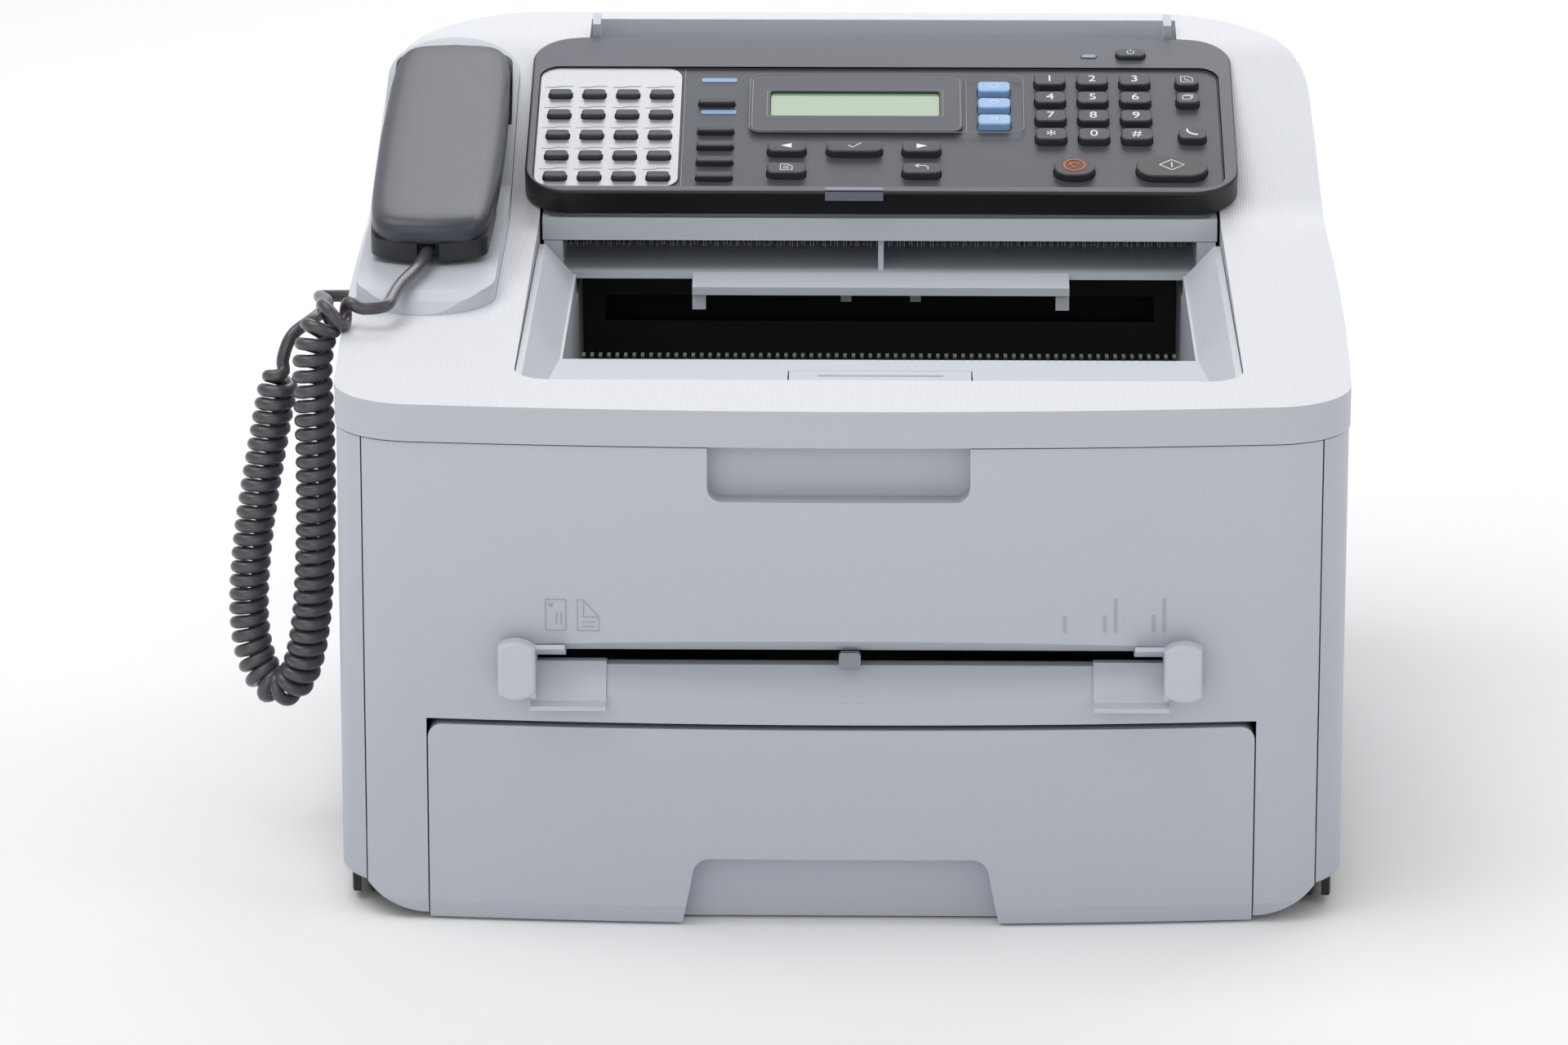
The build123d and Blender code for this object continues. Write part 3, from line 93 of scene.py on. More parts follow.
# %% Camera
LENS = 173.55
AIM = Vector((-19.8 * MM, FRONT + 13.5 * MM, 143.0 * MM))
DISTANCE = 2.6
CAMERA_ELEVATION = math.radians(16.0)
CAMERA_AZIMUTH = math.radians(0.8)

sight = Vector((
    -math.sin(CAMERA_AZIMUTH) * math.cos(CAMERA_ELEVATION),
    math.cos(CAMERA_AZIMUTH) * math.cos(CAMERA_ELEVATION),
    -math.sin(CAMERA_ELEVATION),
))
camera = bpy.data.objects.new("camera", bpy.data.cameras.new("camera"))
camera.data.lens = LENS
camera.data.sensor_width = 36.0
camera.location = AIM - sight * DISTANCE
camera.rotation_euler = sight.to_track_quat("-Z", "Y").to_euler()
bpy.context.scene.collection.objects.link(camera)
bpy.context.scene.camera = camera
print("camera at", tuple(round(c, 3) for c in camera.location))


# %% [markdown]
# ## Writing shaders as sums
#
# A finish is a small calculation done at every point of a surface. Linking Math nodes by
# hand is slow to read, so a tiny class wraps a socket and lets ordinary Python arithmetic
# add the nodes. Colours never pass through it, because a Math node would turn them grey:
# they go through Mix nodes instead.

# %% A number that builds Math nodes
class Wave:
    """A value socket of a material that can be added and multiplied."""

    def __init__(self, finish, socket):
        self.finish = finish
        self.socket = socket

    def combine(self, operation, first, second):
        made = self.finish.node("ShaderNodeMath", {"operation": operation}, {0: first, 1: second})
        return Wave(self.finish, made.outputs[0])

    def __add__(self, other):
        return self.combine("ADD", self, other)

    def __radd__(self, other):
        return self.combine("ADD", other, self)

    def __mul__(self, other):
        return self.combine("MULTIPLY", self, other)

    def __rmul__(self, other):
        return self.combine("MULTIPLY", other, self)


class Finish:
    """One material and the nodes that make it."""

    def __init__(self, name, roughness=0.5, **constants):
        self.material = bpy.data.materials.new(name)
        self.material.use_nodes = True
        self.tree = self.material.node_tree
        self.shader = self.tree.nodes["Principled BSDF"]
        self.shader.inputs["Roughness"].default_value = roughness
        for socket, value in constants.items():
            self.shader.inputs[socket.replace("_", " ")].default_value = value

    def put(self, socket, value):
        if isinstance(value, Wave):
            value = value.socket
        if isinstance(value, bpy.types.NodeSocket):
            self.tree.links.new(value, socket)
        elif isinstance(value, tuple) and len(value) == 3 and len(socket.default_value) == 4:
            socket.default_value = (*value, 1.0)
        else:
            socket.default_value = value

    def node(self, kind, settings=None, inputs=None):
        made = self.tree.nodes.new(kind)
        for key, value in (settings or {}).items():
            setattr(made, key, value)
        for key, value in (inputs or {}).items():
            self.put(made.inputs[key], value)
        return made

    def place(self):
        return self.node("ShaderNodeTexCoord").outputs["Object"]

    def axis(self, letter, source=None):
        split = self.node("ShaderNodeSeparateXYZ", inputs={0: source or self.place()})
        return Wave(self, split.outputs[letter])

    def facing(self, letter):
        return self.axis(letter, self.node("ShaderNodeNewGeometry").outputs["Normal"])

    def noise(self, scale, detail=2.0):
        inputs = {"Vector": self.place(), "Scale": scale, "Detail": detail}
        grain = self.node("ShaderNodeTexNoise", inputs=inputs)
        return Wave(self, grain.outputs["Fac"])

    def sine(self, source, frequency):
        turned = source * frequency
        return Wave(self, self.node("ShaderNodeMath", {"operation": "SINE"}, {0: turned}).outputs[0])

    def ramp(self, factor, low, high):
        """Smooth step of a value from 0 at low to 1 at high."""
        step = self.node(
            "ShaderNodeMapRange", {"interpolation_type": "SMOOTHSTEP"},
            {"Value": factor, "From Min": low, "From Max": high},
        )
        return Wave(self, step.outputs[0])

    def blend(self, factor, first, second):
        mixed = self.node("ShaderNodeMix", {"data_type": "RGBA"}, {0: factor, 6: first, 7: second})
        return mixed.outputs[2]

    def colour(self, value):
        self.put(self.shader.inputs["Base Color"], value)
        return self

    def rough(self, value):
        self.put(self.shader.inputs["Roughness"], value)
        return self

    def bump(self, height, depth, strength=1.0):
        inputs = {"Height": height, "Distance": depth, "Strength": strength}
        relief = self.node("ShaderNodeBump", inputs=inputs)
        self.put(self.shader.inputs["Normal"], relief.outputs[0])
        return self


def tint(red, green, blue):
    """Linear colour from the everyday 0 to 255 scale."""
    return tuple(((c / 255 + 0.055) / 1.055) ** 2.4 if c > 10 else c / 3294 for c in (red, green, blue))


# %% [markdown]
# ## The floor and the studio
#
# The floor and the backdrop are one pale sweep.

# %% Floor, backdrop and lamps
def make_floor():
    """Large pale sweep under and behind the machine."""
    mesh = bpy.data.meshes.new("floor")
    rows = [(-4.0, 0.0), (1.6, 0.0)]
    rows += [(1.6 + 1.2 * math.sin(a), 1.2 - 1.2 * math.cos(a)) for a in (math.radians(d) for d in range(6, 91, 6))]
    rows.append((2.8, 5.0))
    points = [(x, y, z) for y, z in rows for x in (-4.5, 4.5)]
    faces = [(2 * i, 2 * i + 1, 2 * i + 3, 2 * i + 2) for i in range(len(rows) - 1)]
    mesh.from_pydata(points, [], faces)
    for polygon in mesh.polygons:
        polygon.use_smooth = True
    floor = bpy.data.objects.new("floor", mesh)
    bpy.context.scene.collection.objects.link(floor)
    paper = Finish("studio_paper", roughness=0.85)
    paper.colour(paper.blend(paper.noise(3.0), tint(246, 246, 247), tint(250, 250, 250)))
    mesh.materials.append(paper.material)
    return floor


def soft_box(name, place, target, size, power):
    """Rectangular area lamp that looks at a target."""
    lamp = bpy.data.lights.new(name, "AREA")
    lamp.shape = "RECTANGLE"
    lamp.size, lamp.size_y = size
    lamp.energy = power
    holder = bpy.data.objects.new(name, lamp)
    holder.location = place
    holder.rotation_euler = (Vector(target) - Vector(place)).to_track_quat("-Z", "Y").to_euler()
    bpy.context.scene.collection.objects.link(holder)
    return holder


make_floor()
soft_box("key_light", (-0.9, -0.2, 2.1), (0, 0, 0.15), (1.8, 1.6), 21)
soft_box("back_light", (0.5, 1.5, 1.5), (0, 0, 0.2), (2.2, 0.8), 14)
soft_box("front_fill", (-0.6, -2.4, 0.9), (0, 0, 0.1), (2.2, 1.6), 11)
soft_box("right_fill", (2.0, -0.8, 1.0), (0, 0, 0.1), (1.2, 1.4), 5)
world = bpy.data.worlds.new("studio")
world.use_nodes = True
world.node_tree.nodes["Background"].inputs[0].default_value = (1.0, 1.0, 1.0, 1.0)
world.node_tree.nodes["Background"].inputs[1].default_value = 0.5
bpy.context.scene.world = world
bpy.context.scene.view_settings.view_transform = "Standard"
print("studio ready")

# %% [markdown]
# ## Moulded plastics
#
# The casing is spark-eroded ABS: the mould's fine pitting breaks the highlight. It is a cool grey, with painted
# shade making it darker low on the machine. The top cover is nearly white on its upper side with hair-fine ribs
# running from front to back, and its upright band is painted grey as shade. Both come from one calculation that
# asks which way the surface faces.

# %% Casing finishes
GRAIN = 2600.0
RIB_PITCH = 1.05 * MM
DOT_PITCH = 1.4 * MM


def casing_finish(name, light, dark, roughness=0.42):
    """Fine-grained grey plastic, with painted shade making it a touch darker low on the machine."""
    finish = Finish(name, roughness=roughness)
    grain = finish.noise(GRAIN, detail=1.0)
    # painted shade: this height ramp blends the colour from the dark tone at the floor to the light tone 0.19 m up
    height = finish.ramp(finish.axis("Z"), 0.0, 0.19)
    patch = finish.noise(9.0) * 0.25
    finish.colour(finish.blend(height * 0.75 + patch, dark, light))
    finish.rough(roughness - 0.06 + grain * 0.12)
    return finish.bump(grain, 0.06 * MM, 0.5)


def cover_finish():
    """White ribbed top, with painted shade turning the upright band plain grey."""
    finish = Finish("cover_white", roughness=0.4)
    up = finish.ramp(finish.facing("Z"), 0.35, 0.85)
    across = finish.sine(finish.axis("X"), 2 * math.pi / RIB_PITCH)
    along = finish.sine(finish.axis("Y"), 2 * math.pi / DOT_PITCH)
    ribs = (across * 0.7 + across * along * 0.3) * up
    white = finish.blend(ribs * 0.5 + 0.5, tint(208, 211, 217), tint(222, 224, 229))
    # painted shade: faces turned away from straight up take the grey tone instead of the ribbed white
    finish.colour(finish.blend(up, tint(188, 192, 199), white))
    finish.rough(0.38 + finish.noise(GRAIN) * 0.1)
    return finish.bump(ribs, 0.05 * MM, 0.6)


case_grey = casing_finish("case_grey", tint(186, 190, 199), tint(172, 177, 187))
door_grey = casing_finish("door_grey", tint(190, 194, 202), tint(176, 181, 191))
tray_grey = casing_finish("tray_grey", tint(206, 210, 217), tint(196, 201, 209))
# painted light: the feeder is painted paler than the casing to brighten its shaded wall under the panel
feeder_grey = casing_finish("feeder_grey", tint(208, 213, 221), tint(198, 204, 213))
cradle_grey = casing_finish("cradle_grey", tint(196, 201, 209), tint(186, 191, 200))
cover_white = cover_finish()
print("casing finishes", 6)


# %% [markdown]
# ## Dark plastics, metals and lenses
#
# The panel's bezel has a very fine diagonal hatch, and its upright lip is painted almost black as shade.
# Keys are satin black. The handset is a dark pearl grey. Inside the machine there is black
# frame plastic, bare steel, a green board and a glossy release-coated roller.

# %% Dark finishes
HATCH_PITCH = 0.9 * MM


def bezel_finish():
    """Hatched dark grey on top, with painted shade making the upright lip and sides near black."""
    finish = Finish("panel_dark", roughness=0.36)
    up = finish.ramp(finish.facing("Z"), 0.72, 0.93)
    slant = finish.axis("X") + finish.axis("Y")
    hatch = finish.sine(slant, 2 * math.pi / HATCH_PITCH) * up
    top = finish.blend(hatch * 0.5 + 0.5, tint(72, 75, 85), tint(90, 93, 104))
    # painted shade: faces turned away from the panel's slope take the near-black tone
    finish.colour(finish.blend(up, tint(30, 30, 33), top))
    finish.rough(0.34 + finish.noise(900.0) * 0.1)
    return finish.bump(hatch, 0.03 * MM, 0.4)


def satin(name, dark, light, roughness, grain=1800.0, depth=0.03):
    """Plain satin plastic with a fine moulded grain."""
    finish = Finish(name, roughness=roughness)
    fine = finish.noise(grain, detail=1.0)
    finish.colour(finish.blend(finish.noise(40.0), dark, light))
    finish.rough(roughness - 0.05 + fine * 0.1)
    return finish.bump(fine, depth * MM, 0.4)


def brushed(name, dark, light, roughness, stretch=(1.0, 60.0, 60.0)):
    """Metal with fine lines along X."""
    finish = Finish(name, roughness=roughness, Metallic=1.0)
    spread = finish.node("ShaderNodeMapping", inputs={"Vector": finish.place(), "Scale": stretch})
    inputs = {"Vector": spread.outputs[0], "Scale": 60.0, "Detail": 3.0}
    lines = finish.node("ShaderNodeTexNoise", inputs=inputs)
    streak = Wave(finish, lines.outputs["Fac"])
    finish.colour(finish.blend(streak, dark, light))
    finish.rough(roughness - 0.05 + streak * 0.1)
    return finish.bump(streak, 0.02 * MM, 0.3)


panel_dark = bezel_finish()
field_dark = satin("faceplate_dark", tint(60, 62, 71), tint(69, 71, 81), 0.42)
key_black = satin("key_black", tint(42, 44, 50), tint(50, 52, 58), 0.4)
key_blue = satin("key_blue", tint(128, 168, 214), tint(150, 186, 226), 0.28)
handset_dark = satin("handset_dark", tint(60, 63, 73), tint(69, 72, 82), 0.38, depth=0.04)
handset_low = satin("handset_low", tint(38, 39, 43), tint(46, 47, 52), 0.42)
frame_black = satin("frame_black", tint(18, 18, 20), tint(26, 26, 29), 0.55)
cartridge_black = satin("cartridge_black", tint(30, 30, 33), tint(40, 40, 44), 0.5)
rubber_black = satin("rubber_black", tint(24, 24, 25), tint(34, 34, 35), 0.8, depth=0.06)
board_green = satin("board_green", tint(24, 92, 52), tint(34, 112, 64), 0.45, grain=500.0)
roller_coat = satin("roller_coat", tint(70, 44, 34), tint(84, 54, 42), 0.2)
steel = brushed("steel", tint(150, 152, 155), tint(186, 188, 190), 0.35)
lens_grey = satin("lens_grey", tint(118, 120, 136), tint(132, 134, 150), 0.2)
print("dark finishes ready")

# %% [markdown]
# ## Dressing the frame's own pieces
#
# Every node keeps its shape. A small bevel modifier rounds the long edges of the shells, as
# a real mould does, because a perfectly sharp edge never catches light.

# %% Materials and soft edges on the nodes
FINISHES = {
    "top_cover": cover_white, "front_cover": door_grey, "paper_cassette": door_grey,
    "left_side_cover": case_grey, "right_side_cover": case_grey, "rear_cover": case_grey,
    "bypass_guide_left": cradle_grey, "bypass_guide_right": cradle_grey,
    "document_guide_left": cradle_grey, "document_guide_right": cradle_grey,
    "output_tray": tray_grey, "output_flap": tray_grey, "feeder_frame": feeder_grey,
    "document_exit": feeder_grey, "handset_cradle": cradle_grey, "exit_guide": frame_black,
    "base_frame": frame_black, "laser_unit": cartridge_black, "toner_cartridge": cartridge_black,
    "fuser_unit": frame_black, "cassette_guide_left": frame_black, "cassette_guide_right": frame_black,
    "cord_socket": frame_black, "rubber_feet": rubber_black, "pickup_roller": rubber_black,
    "lift_plate": steel, "power_supply": steel, "heat_roller": roller_coat, "main_board": board_green,
    "panel_shell": panel_dark, "panel_faceplate": field_dark, "status_lens": lens_grey,
    "blue_keys": key_blue, "handset_upper_shell": handset_dark, "handset_lower_shell": handset_low,
    "hook_switch": key_black,
}
SOFT_EDGES = {
    "top_cover": 1.6, "front_cover": 0.8, "paper_cassette": 0.8, "left_side_cover": 0.7, "right_side_cover": 0.7,
    "bypass_guide_left": 0.5, "bypass_guide_right": 0.5, "handset_cradle": 1.8, "output_tray": 0.5,
    "feeder_frame": 0.5, "document_exit": 0.5, "output_flap": 0.4, "panel_faceplate": 0.25,
    "document_guide_left": 0.4, "document_guide_right": 0.4, "handset_lower_shell": 0.5,
}


def dress(node, finish):
    """Give a node its finish and, where it has one, its rounded edges."""
    thing = nodes[node]
    thing.data.materials.clear()
    thing.data.materials.append(finish.material)
    if node in SOFT_EDGES:
        bevel = thing.modifiers.new("soft_edge", "BEVEL")
        bevel.width = SOFT_EDGES[node] * MM
        bevel.segments = 3
        bevel.limit_method = "ANGLE"
        bevel.angle_limit = math.radians(50)
        bevel.use_clamp_overlap = True
        bevel.harden_normals = False


for name in nodes:
    if name.startswith("handset_cord") or name == "display_window":
        continue
    dress(name, FINISHES.get(name, key_black))
print("dressed", len(nodes), "nodes")

# %% [markdown]
# ## Shapes drawn on the panel
#
# Legends and trims are thin relief, not pictures. A plate is a flat outline with holes,
# given a little thickness. A line drawing is a set of fine round beads half sunk in the
# surface, as pad printing stands a hair above the plastic.

# %% Plates and line drawings
def rounded(width, depth, corner, x=0.0, y=0.0, steps=6):
    """Points of a rounded rectangle, in millimetres."""
    points = []
    for quadrant, (sx, sy) in enumerate(((1, 1), (-1, 1), (-1, -1), (1, -1))):
        cx = x + sx * (width / 2 - corner)
        cy = y + sy * (depth / 2 - corner)
        for step in range(steps + 1):
            angle = math.radians(90 * quadrant + 90 * step / steps)
            points.append((cx + corner * math.cos(angle), cy + corner * math.sin(angle)))
    return points


def circle(radius, x=0.0, y=0.0, start=0, end=360, steps=24):
    """Points of an arc, in millimetres."""
    angles = [math.radians(start + (end - start) * i / steps) for i in range(steps + 1)]
    return [(x + radius * math.cos(a), y + radius * math.sin(a)) for a in angles]


def settle(thing, matrix, body, finish):
    """Turn a curve into a mesh in its place, and give it its body and finish."""
    mesh = bpy.data.meshes.new_from_object(thing)
    bpy.data.objects.remove(thing)
    mesh.transform(matrix)
    mesh.materials.clear()
    mesh.materials.append(finish.material)
    piece = bpy.data.objects.new(mesh.name, mesh)
    bpy.context.scene.collection.objects.link(piece)
    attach(piece, body)
    return piece


def curve_of(name, outlines, closed=True):
    """Flat curve object through outlines given in millimetres."""
    curve = bpy.data.curves.new(name, "CURVE")
    for points in outlines:
        spline = curve.splines.new("POLY")
        spline.points.add(len(points) - 1)
        for point, (x, y) in zip(spline.points, points):
            point.co = (x * MM, y * MM, 0, 1)
        spline.use_cyclic_u = closed
    thing = bpy.data.objects.new(name, curve)
    bpy.context.scene.collection.objects.link(thing)
    return thing


def plate(name, outlines, matrix, body, finish, thickness=0.3):
    """Flat plate: the first outline is its edge, the others are holes."""
    thing = curve_of(name, outlines)
    thing.data.dimensions = "2D"
    thing.data.fill_mode = "BOTH"
    thing.data.extrude = thickness / 2 * MM
    return settle(thing, matrix @ Matrix.Translation((0, 0, thickness / 2 * MM)), body, finish)


def lines(name, strokes, matrix, body, slot, finish, width=0.45, closed=False):
    """Line drawing of fine round beads."""
    thing = curve_of(name, strokes, closed)
    thing.data.dimensions = "3D"
    thing.data.bevel_depth = width / 2 * MM
    thing.data.bevel_resolution = 2
    thing.data.use_fill_caps = True
    return settle(thing, matrix, body, finish)


# %% [markdown]
# ## The curly cord
#
# A handset cord is wound on a mandrel and baked, so that it springs back to a tight helix.
# It leaves the handset as a straight lead, hangs beside the machine as one long coil in a
# loop, and goes back up to a socket in the side as a short tail. All three runs are smooth
# splines. The coil's turns are wound round the middle spline, with the first turns near the
# handset pulled a little open, and the whole is one tube.

# %% Cord routes
LEAD = [
    (-150.0, 161.9, 203.5), (-151.2, 149.0, 201.7), (-154.0, 136.0, 200.6), (-158.0, 123.0, 199.4),
    (-160.0, 110.0, 198.0), (-161.5, 99.0, 196.5), (-169.5, 99.0, 196.5),
]
COIL = [
    (-169.5, 99.0, 196.5), (-181.0, 99.0, 196.5), (-188.5, 98.0, 183.0), (-187.0, 97.0, 150.0),
    (-187.6, 97.0, 110.0), (-190.0, 98.0, 77.0), (-195.5, 100.0, 57.0), (-206.0, 104.0, 54.0),
    (-213.5, 107.0, 73.0), (-212.0, 108.0, 105.0), (-206.0, 110.0, 141.0), (-199.5, 112.0, 174.0),
]
TAIL = [
    (-199.5, 112.0, 174.0), (-197.8, 112.5, 182.6), (-190.0, 120.0, 186.5), (-185.5, 133.0, 187.5),
    (-185.5, 148.0, 187.0), (-190.5, 163.0, 184.5), (-190.0, 176.0, 181.5), (-179.0, 176.0, 181.5),
]
CORD_DIAMETER = 4.6 * MM
COIL_RADIUS = 5.0 * MM
COIL_PITCH = 5.0 * MM
COIL_END = 9 * MM
OPEN_PITCH = 4.0 * MM


def spline_points(name, route):
    """Points along the smooth spline through a route, evenly spaced."""
    curve = bpy.data.curves.new(name, "CURVE")
    curve.dimensions = "3D"
    spline = curve.splines.new("NURBS")
    spline.points.add(len(route) - 1)
    for point, (x, y, z) in zip(spline.points, route):
        point.co = (x * MM, FRONT + y * MM, z * MM, 1)
    spline.order_u = 3
    spline.use_endpoint_u = True
    spline.resolution_u = 24
    holder = bpy.data.objects.new(name, curve)
    bpy.context.scene.collection.objects.link(holder)
    mesh = bpy.data.meshes.new_from_object(holder)
    points = [vertex.co.copy() for vertex in mesh.vertices]
    bpy.data.objects.remove(holder)
    return points


def run_length(points):
    return sum((b - a).length for a, b in zip(points, points[1:]))


def along(points, step):
    """The same line with points a step apart."""
    total = run_length(points)
    count = max(2, round(total / step))
    out, index, passed = [points[0].copy()], 0, 0.0
    for i in range(1, count):
        goal = total * i / count
        while passed + (points[index + 1] - points[index]).length < goal:
            passed += (points[index + 1] - points[index]).length
            index += 1
        part = (goal - passed) / (points[index + 1] - points[index]).length
        out.append(points[index].lerp(points[index + 1], part))
    return out + [points[-1].copy()]


def frames(points, start):
    """A pair of axes square to a line at each point, turned as little as possible."""
    made, side = [], start
    for i, point in enumerate(points):
        ahead = points[min(i + 1, len(points) - 1)] - points[max(i - 1, 0)]
        ahead.normalize()
        side = (side - ahead * side.dot(ahead)).normalized()
        made.append((side.copy(), ahead.cross(side)))
    return made


def smooth(value):
    value = min(1.0, max(0.0, value))
    return value * value * (3 - 2 * value)


def wind(points):
    """Helix round a line, opening out from nothing and closing again at its end."""
    fine = along(points, 0.27 * MM)
    axes = frames(fine, Vector((0, 0, 1)))
    total = run_length(fine)
    step = total / (len(fine) - 1)
    phase, helix = 0.0, []
    for i, (point, (side, up)) in enumerate(zip(fine, axes)):
        s = i * step
        ramp = smooth(s / COIL_END) * smooth((total - s) / COIL_END)
        radius = COIL_RADIUS * ramp
        helix.append(point + (side * math.cos(phase) + up * math.sin(phase)) * radius)
        phase += 2 * math.pi * step * ramp / (COIL_PITCH + OPEN_PITCH * math.exp(-s / (16 * MM)))
    print("coil turns", round(phase / (2 * math.pi), 1))
    return helix


# %% Cord tube
def tube(name, points, diameter, sides=12):
    """Closed mesh tube along a line of points."""
    axes = frames(points, Vector((0, 0, 1)))
    shape = bmesh.new()
    rings = []
    for point, (side, up) in zip(points, axes):
        ring = []
        for k in range(sides):
            angle = 2 * math.pi * k / sides
            ring.append(shape.verts.new(point + (side * math.cos(angle) + up * math.sin(angle)) * diameter / 2))
        rings.append(ring)
    for one, two in zip(rings, rings[1:]):
        for k in range(sides):
            shape.faces.new((one[k], one[(k + 1) % sides], two[(k + 1) % sides], two[k]))
    shape.faces.new(rings[0][::-1])
    shape.faces.new(rings[-1])
    bmesh.ops.recalc_face_normals(shape, faces=shape.faces)
    for face in shape.faces:
        face.smooth = len(face.verts) == 4
    mesh = bpy.data.meshes.new(name)
    shape.to_mesh(mesh)
    shape.free()
    thing = bpy.data.objects.new(name, mesh)
    bpy.context.scene.collection.objects.link(thing)
    return thing


lead_line = spline_points("lead", LEAD)
coil_line = spline_points("coil", COIL)
tail_line = spline_points("tail", TAIL)
cord_line = along(lead_line, 2 * MM)[:-1] + wind(coil_line) + along(tail_line, 2 * MM)[1:]
cord_line = along(cord_line, 1.5 * MM)
cord_length = run_length(cord_line)
cord = tube("handset_cord", cord_line, CORD_DIAMETER)
cord_skin = Finish("cord", roughness=0.3, Coat_Weight=0.3)
cord_skin.colour(cord_skin.blend(cord_skin.noise(60.0), tint(66, 61, 68), tint(80, 75, 82)))
cord_skin.rough(0.27 + cord_skin.noise(300.0) * 0.1)
cord_skin.bump(cord_skin.noise(700.0), 0.03 * MM, 0.3)
cord.data.materials.append(cord_skin.material)
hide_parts("handset_cord_lead", "handset_cord_coil", "handset_cord_tail")
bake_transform(cord)
print("cord", round(cord_length, 3), "m unrolled")

# %% [markdown]
# ## The handset's back
#
# The real back shell is gently crowned, with soft corners and almost vertical flanks, so
# light rolls over it. Its plan is the frame's plan, and every ring of the crown is the plan
# drawn in towards the handset's middle line.

# %% Crowned shell
HANDSET_TILT = math.radians(7.8)
HANDSET_AXES = Matrix((
    Vector((1, 0, 0)),
    Vector((0, math.cos(HANDSET_TILT), math.sin(HANDSET_TILT))),
    Vector((0, -math.sin(HANDSET_TILT), math.cos(HANDSET_TILT))),
)).transposed()
HANDSET_MATRIX = Matrix.Translation((-150 * MM, FRONT + 248 * MM, 227 * MM)) @ HANDSET_AXES.to_4x4()
HANDSET_LENGTH = 190.0
HANDSET_WIDTH = 46.0


def handset_outline(steps=26):
    """Plan of the handset: bowed flanks, softly curved ends, tight corners."""
    half, length = HANDSET_WIDTH / 2, HANDSET_LENGTH / 2
    points = []
    for i in range(4 * steps):
        angle = 2 * math.pi * i / (4 * steps)
        c, s = math.cos(angle), math.sin(angle)
        power = 0.22
        x = half * math.copysign(abs(c) ** power, c)
        t = length * math.copysign(abs(s) ** power, s)
        narrow = 2.0 * (t / length) ** 2
        drop = (6.0 if t < 0 else 4.5) * (x / half) ** 2 * abs(t / length) ** 6
        points.append((x * (1 - narrow / half), t - math.copysign(drop, t)))
    return points


def crowned_shell():
    """Upper shell of the handset as one smooth skin with thickness."""
    shape = bmesh.new()
    plan = handset_outline()
    spine = HANDSET_LENGTH / 2 - HANDSET_WIDTH / 2
    levels = [(0.0, -8.0), (0.0, -6.4), (0.0, -4.6), (0.012, -3.0), (0.04, -1.75), (0.085, -0.85), (0.15, -0.3)]
    levels += [(0.25, 0.05), (0.4, 0.32), (0.6, 0.52), (0.8, 0.6), (0.97, 0.62)]
    rings = []
    for draw, height in levels:
        ring = []
        for x, t in plan:
            middle = max(-spine, min(spine, t))
            ring.append(shape.verts.new((x * (1 - draw) * MM, (t + (middle - t) * draw) * MM, height * MM)))
        rings.append(ring)
    count = len(plan)
    for one, two in zip(rings, rings[1:]):
        for k in range(count):
            shape.faces.new((one[k], one[(k + 1) % count], two[(k + 1) % count], two[k]))
    top = rings[-1]
    for k in range(count // 2 - 1):
        a, b = (k + count // 4) % count, (k + 1 + count // 4) % count
        c, d = (count // 4 - k - 2) % count, (count // 4 - k - 1) % count
        if len({a, b, c, d}) == 4:
            shape.faces.new((top[a], top[b], top[c], top[d]))
    bmesh.ops.recalc_face_normals(shape, faces=shape.faces)
    for face in shape.faces:
        face.smooth = True
    mesh = bpy.data.meshes.new("handset_back")
    shape.to_mesh(mesh)
    shape.free()
    mesh.transform(HANDSET_MATRIX)
    mesh.materials.append(handset_dark.material)
    shell = bpy.data.objects.new("handset_back", mesh)
    bpy.context.scene.collection.objects.link(shell)
    wall = shell.modifiers.new("wall", "SOLIDIFY")
    wall.thickness = 1.6 * MM
    wall.offset = -1.0
    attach(shell, "handset")
    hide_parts("handset_upper_shell")
    return shell


crowned_shell()
print("handset shell ready")

# %% [markdown]
# ## The panel's trims
#
# The speed-dial field is a brushed silver plate with a hole for each key. Fine lines frame
# the display and the blue keys. The display is a reflective liquid crystal: pale green,
# with a faint grid of segments.

# %% Trim finishes
silver = brushed("silver", tint(172, 174, 179), tint(202, 204, 208), 0.38, stretch=(60.0, 1.0, 60.0))
silver.shader.inputs["Metallic"].default_value = 0.75
trim_light = satin("trim_light", tint(132, 135, 144), tint(146, 149, 158), 0.3)
trim_dark = satin("trim_dark", tint(34, 35, 39), tint(42, 43, 47), 0.4)
legend_white = satin("legend_white", tint(226, 229, 233), tint(240, 242, 245), 0.5)
legend_orange = satin("legend_orange", tint(226, 106, 36), tint(240, 124, 48), 0.5)
tag_blue = satin("tag_blue", tint(126, 158, 198), tint(142, 174, 212), 0.4)
led_grey = satin("led_grey", tint(120, 132, 146), tint(138, 150, 164), 0.3)
emboss_grey = satin("emboss_grey", tint(160, 166, 177), tint(166, 172, 183), 0.5)
brush_black = satin("brush_black", tint(14, 14, 15), tint(22, 22, 24), 0.7)
bristle = satin("bristle", tint(120, 124, 132), tint(170, 174, 182), 0.5)

lcd = Finish("lcd", roughness=0.22, Coat_Weight=0.6)
cell = lcd.sine(lcd.axis("X"), 2 * math.pi / (0.62 * MM)) * lcd.sine(lcd.axis("Y"), 2 * math.pi / (0.62 * MM))
lcd_light = cell * 0.08 + lcd.ramp(lcd.axis("Y"), 0.12, 0.15) * 0.6
lcd.colour(lcd.blend(lcd_light, tint(128, 158, 122), tint(150, 180, 145)))
lcd.rough(0.2 + lcd.noise(200.0) * 0.06)
nodes["display_window"].data.materials.clear()
nodes["display_window"].data.materials.append(lcd.material)

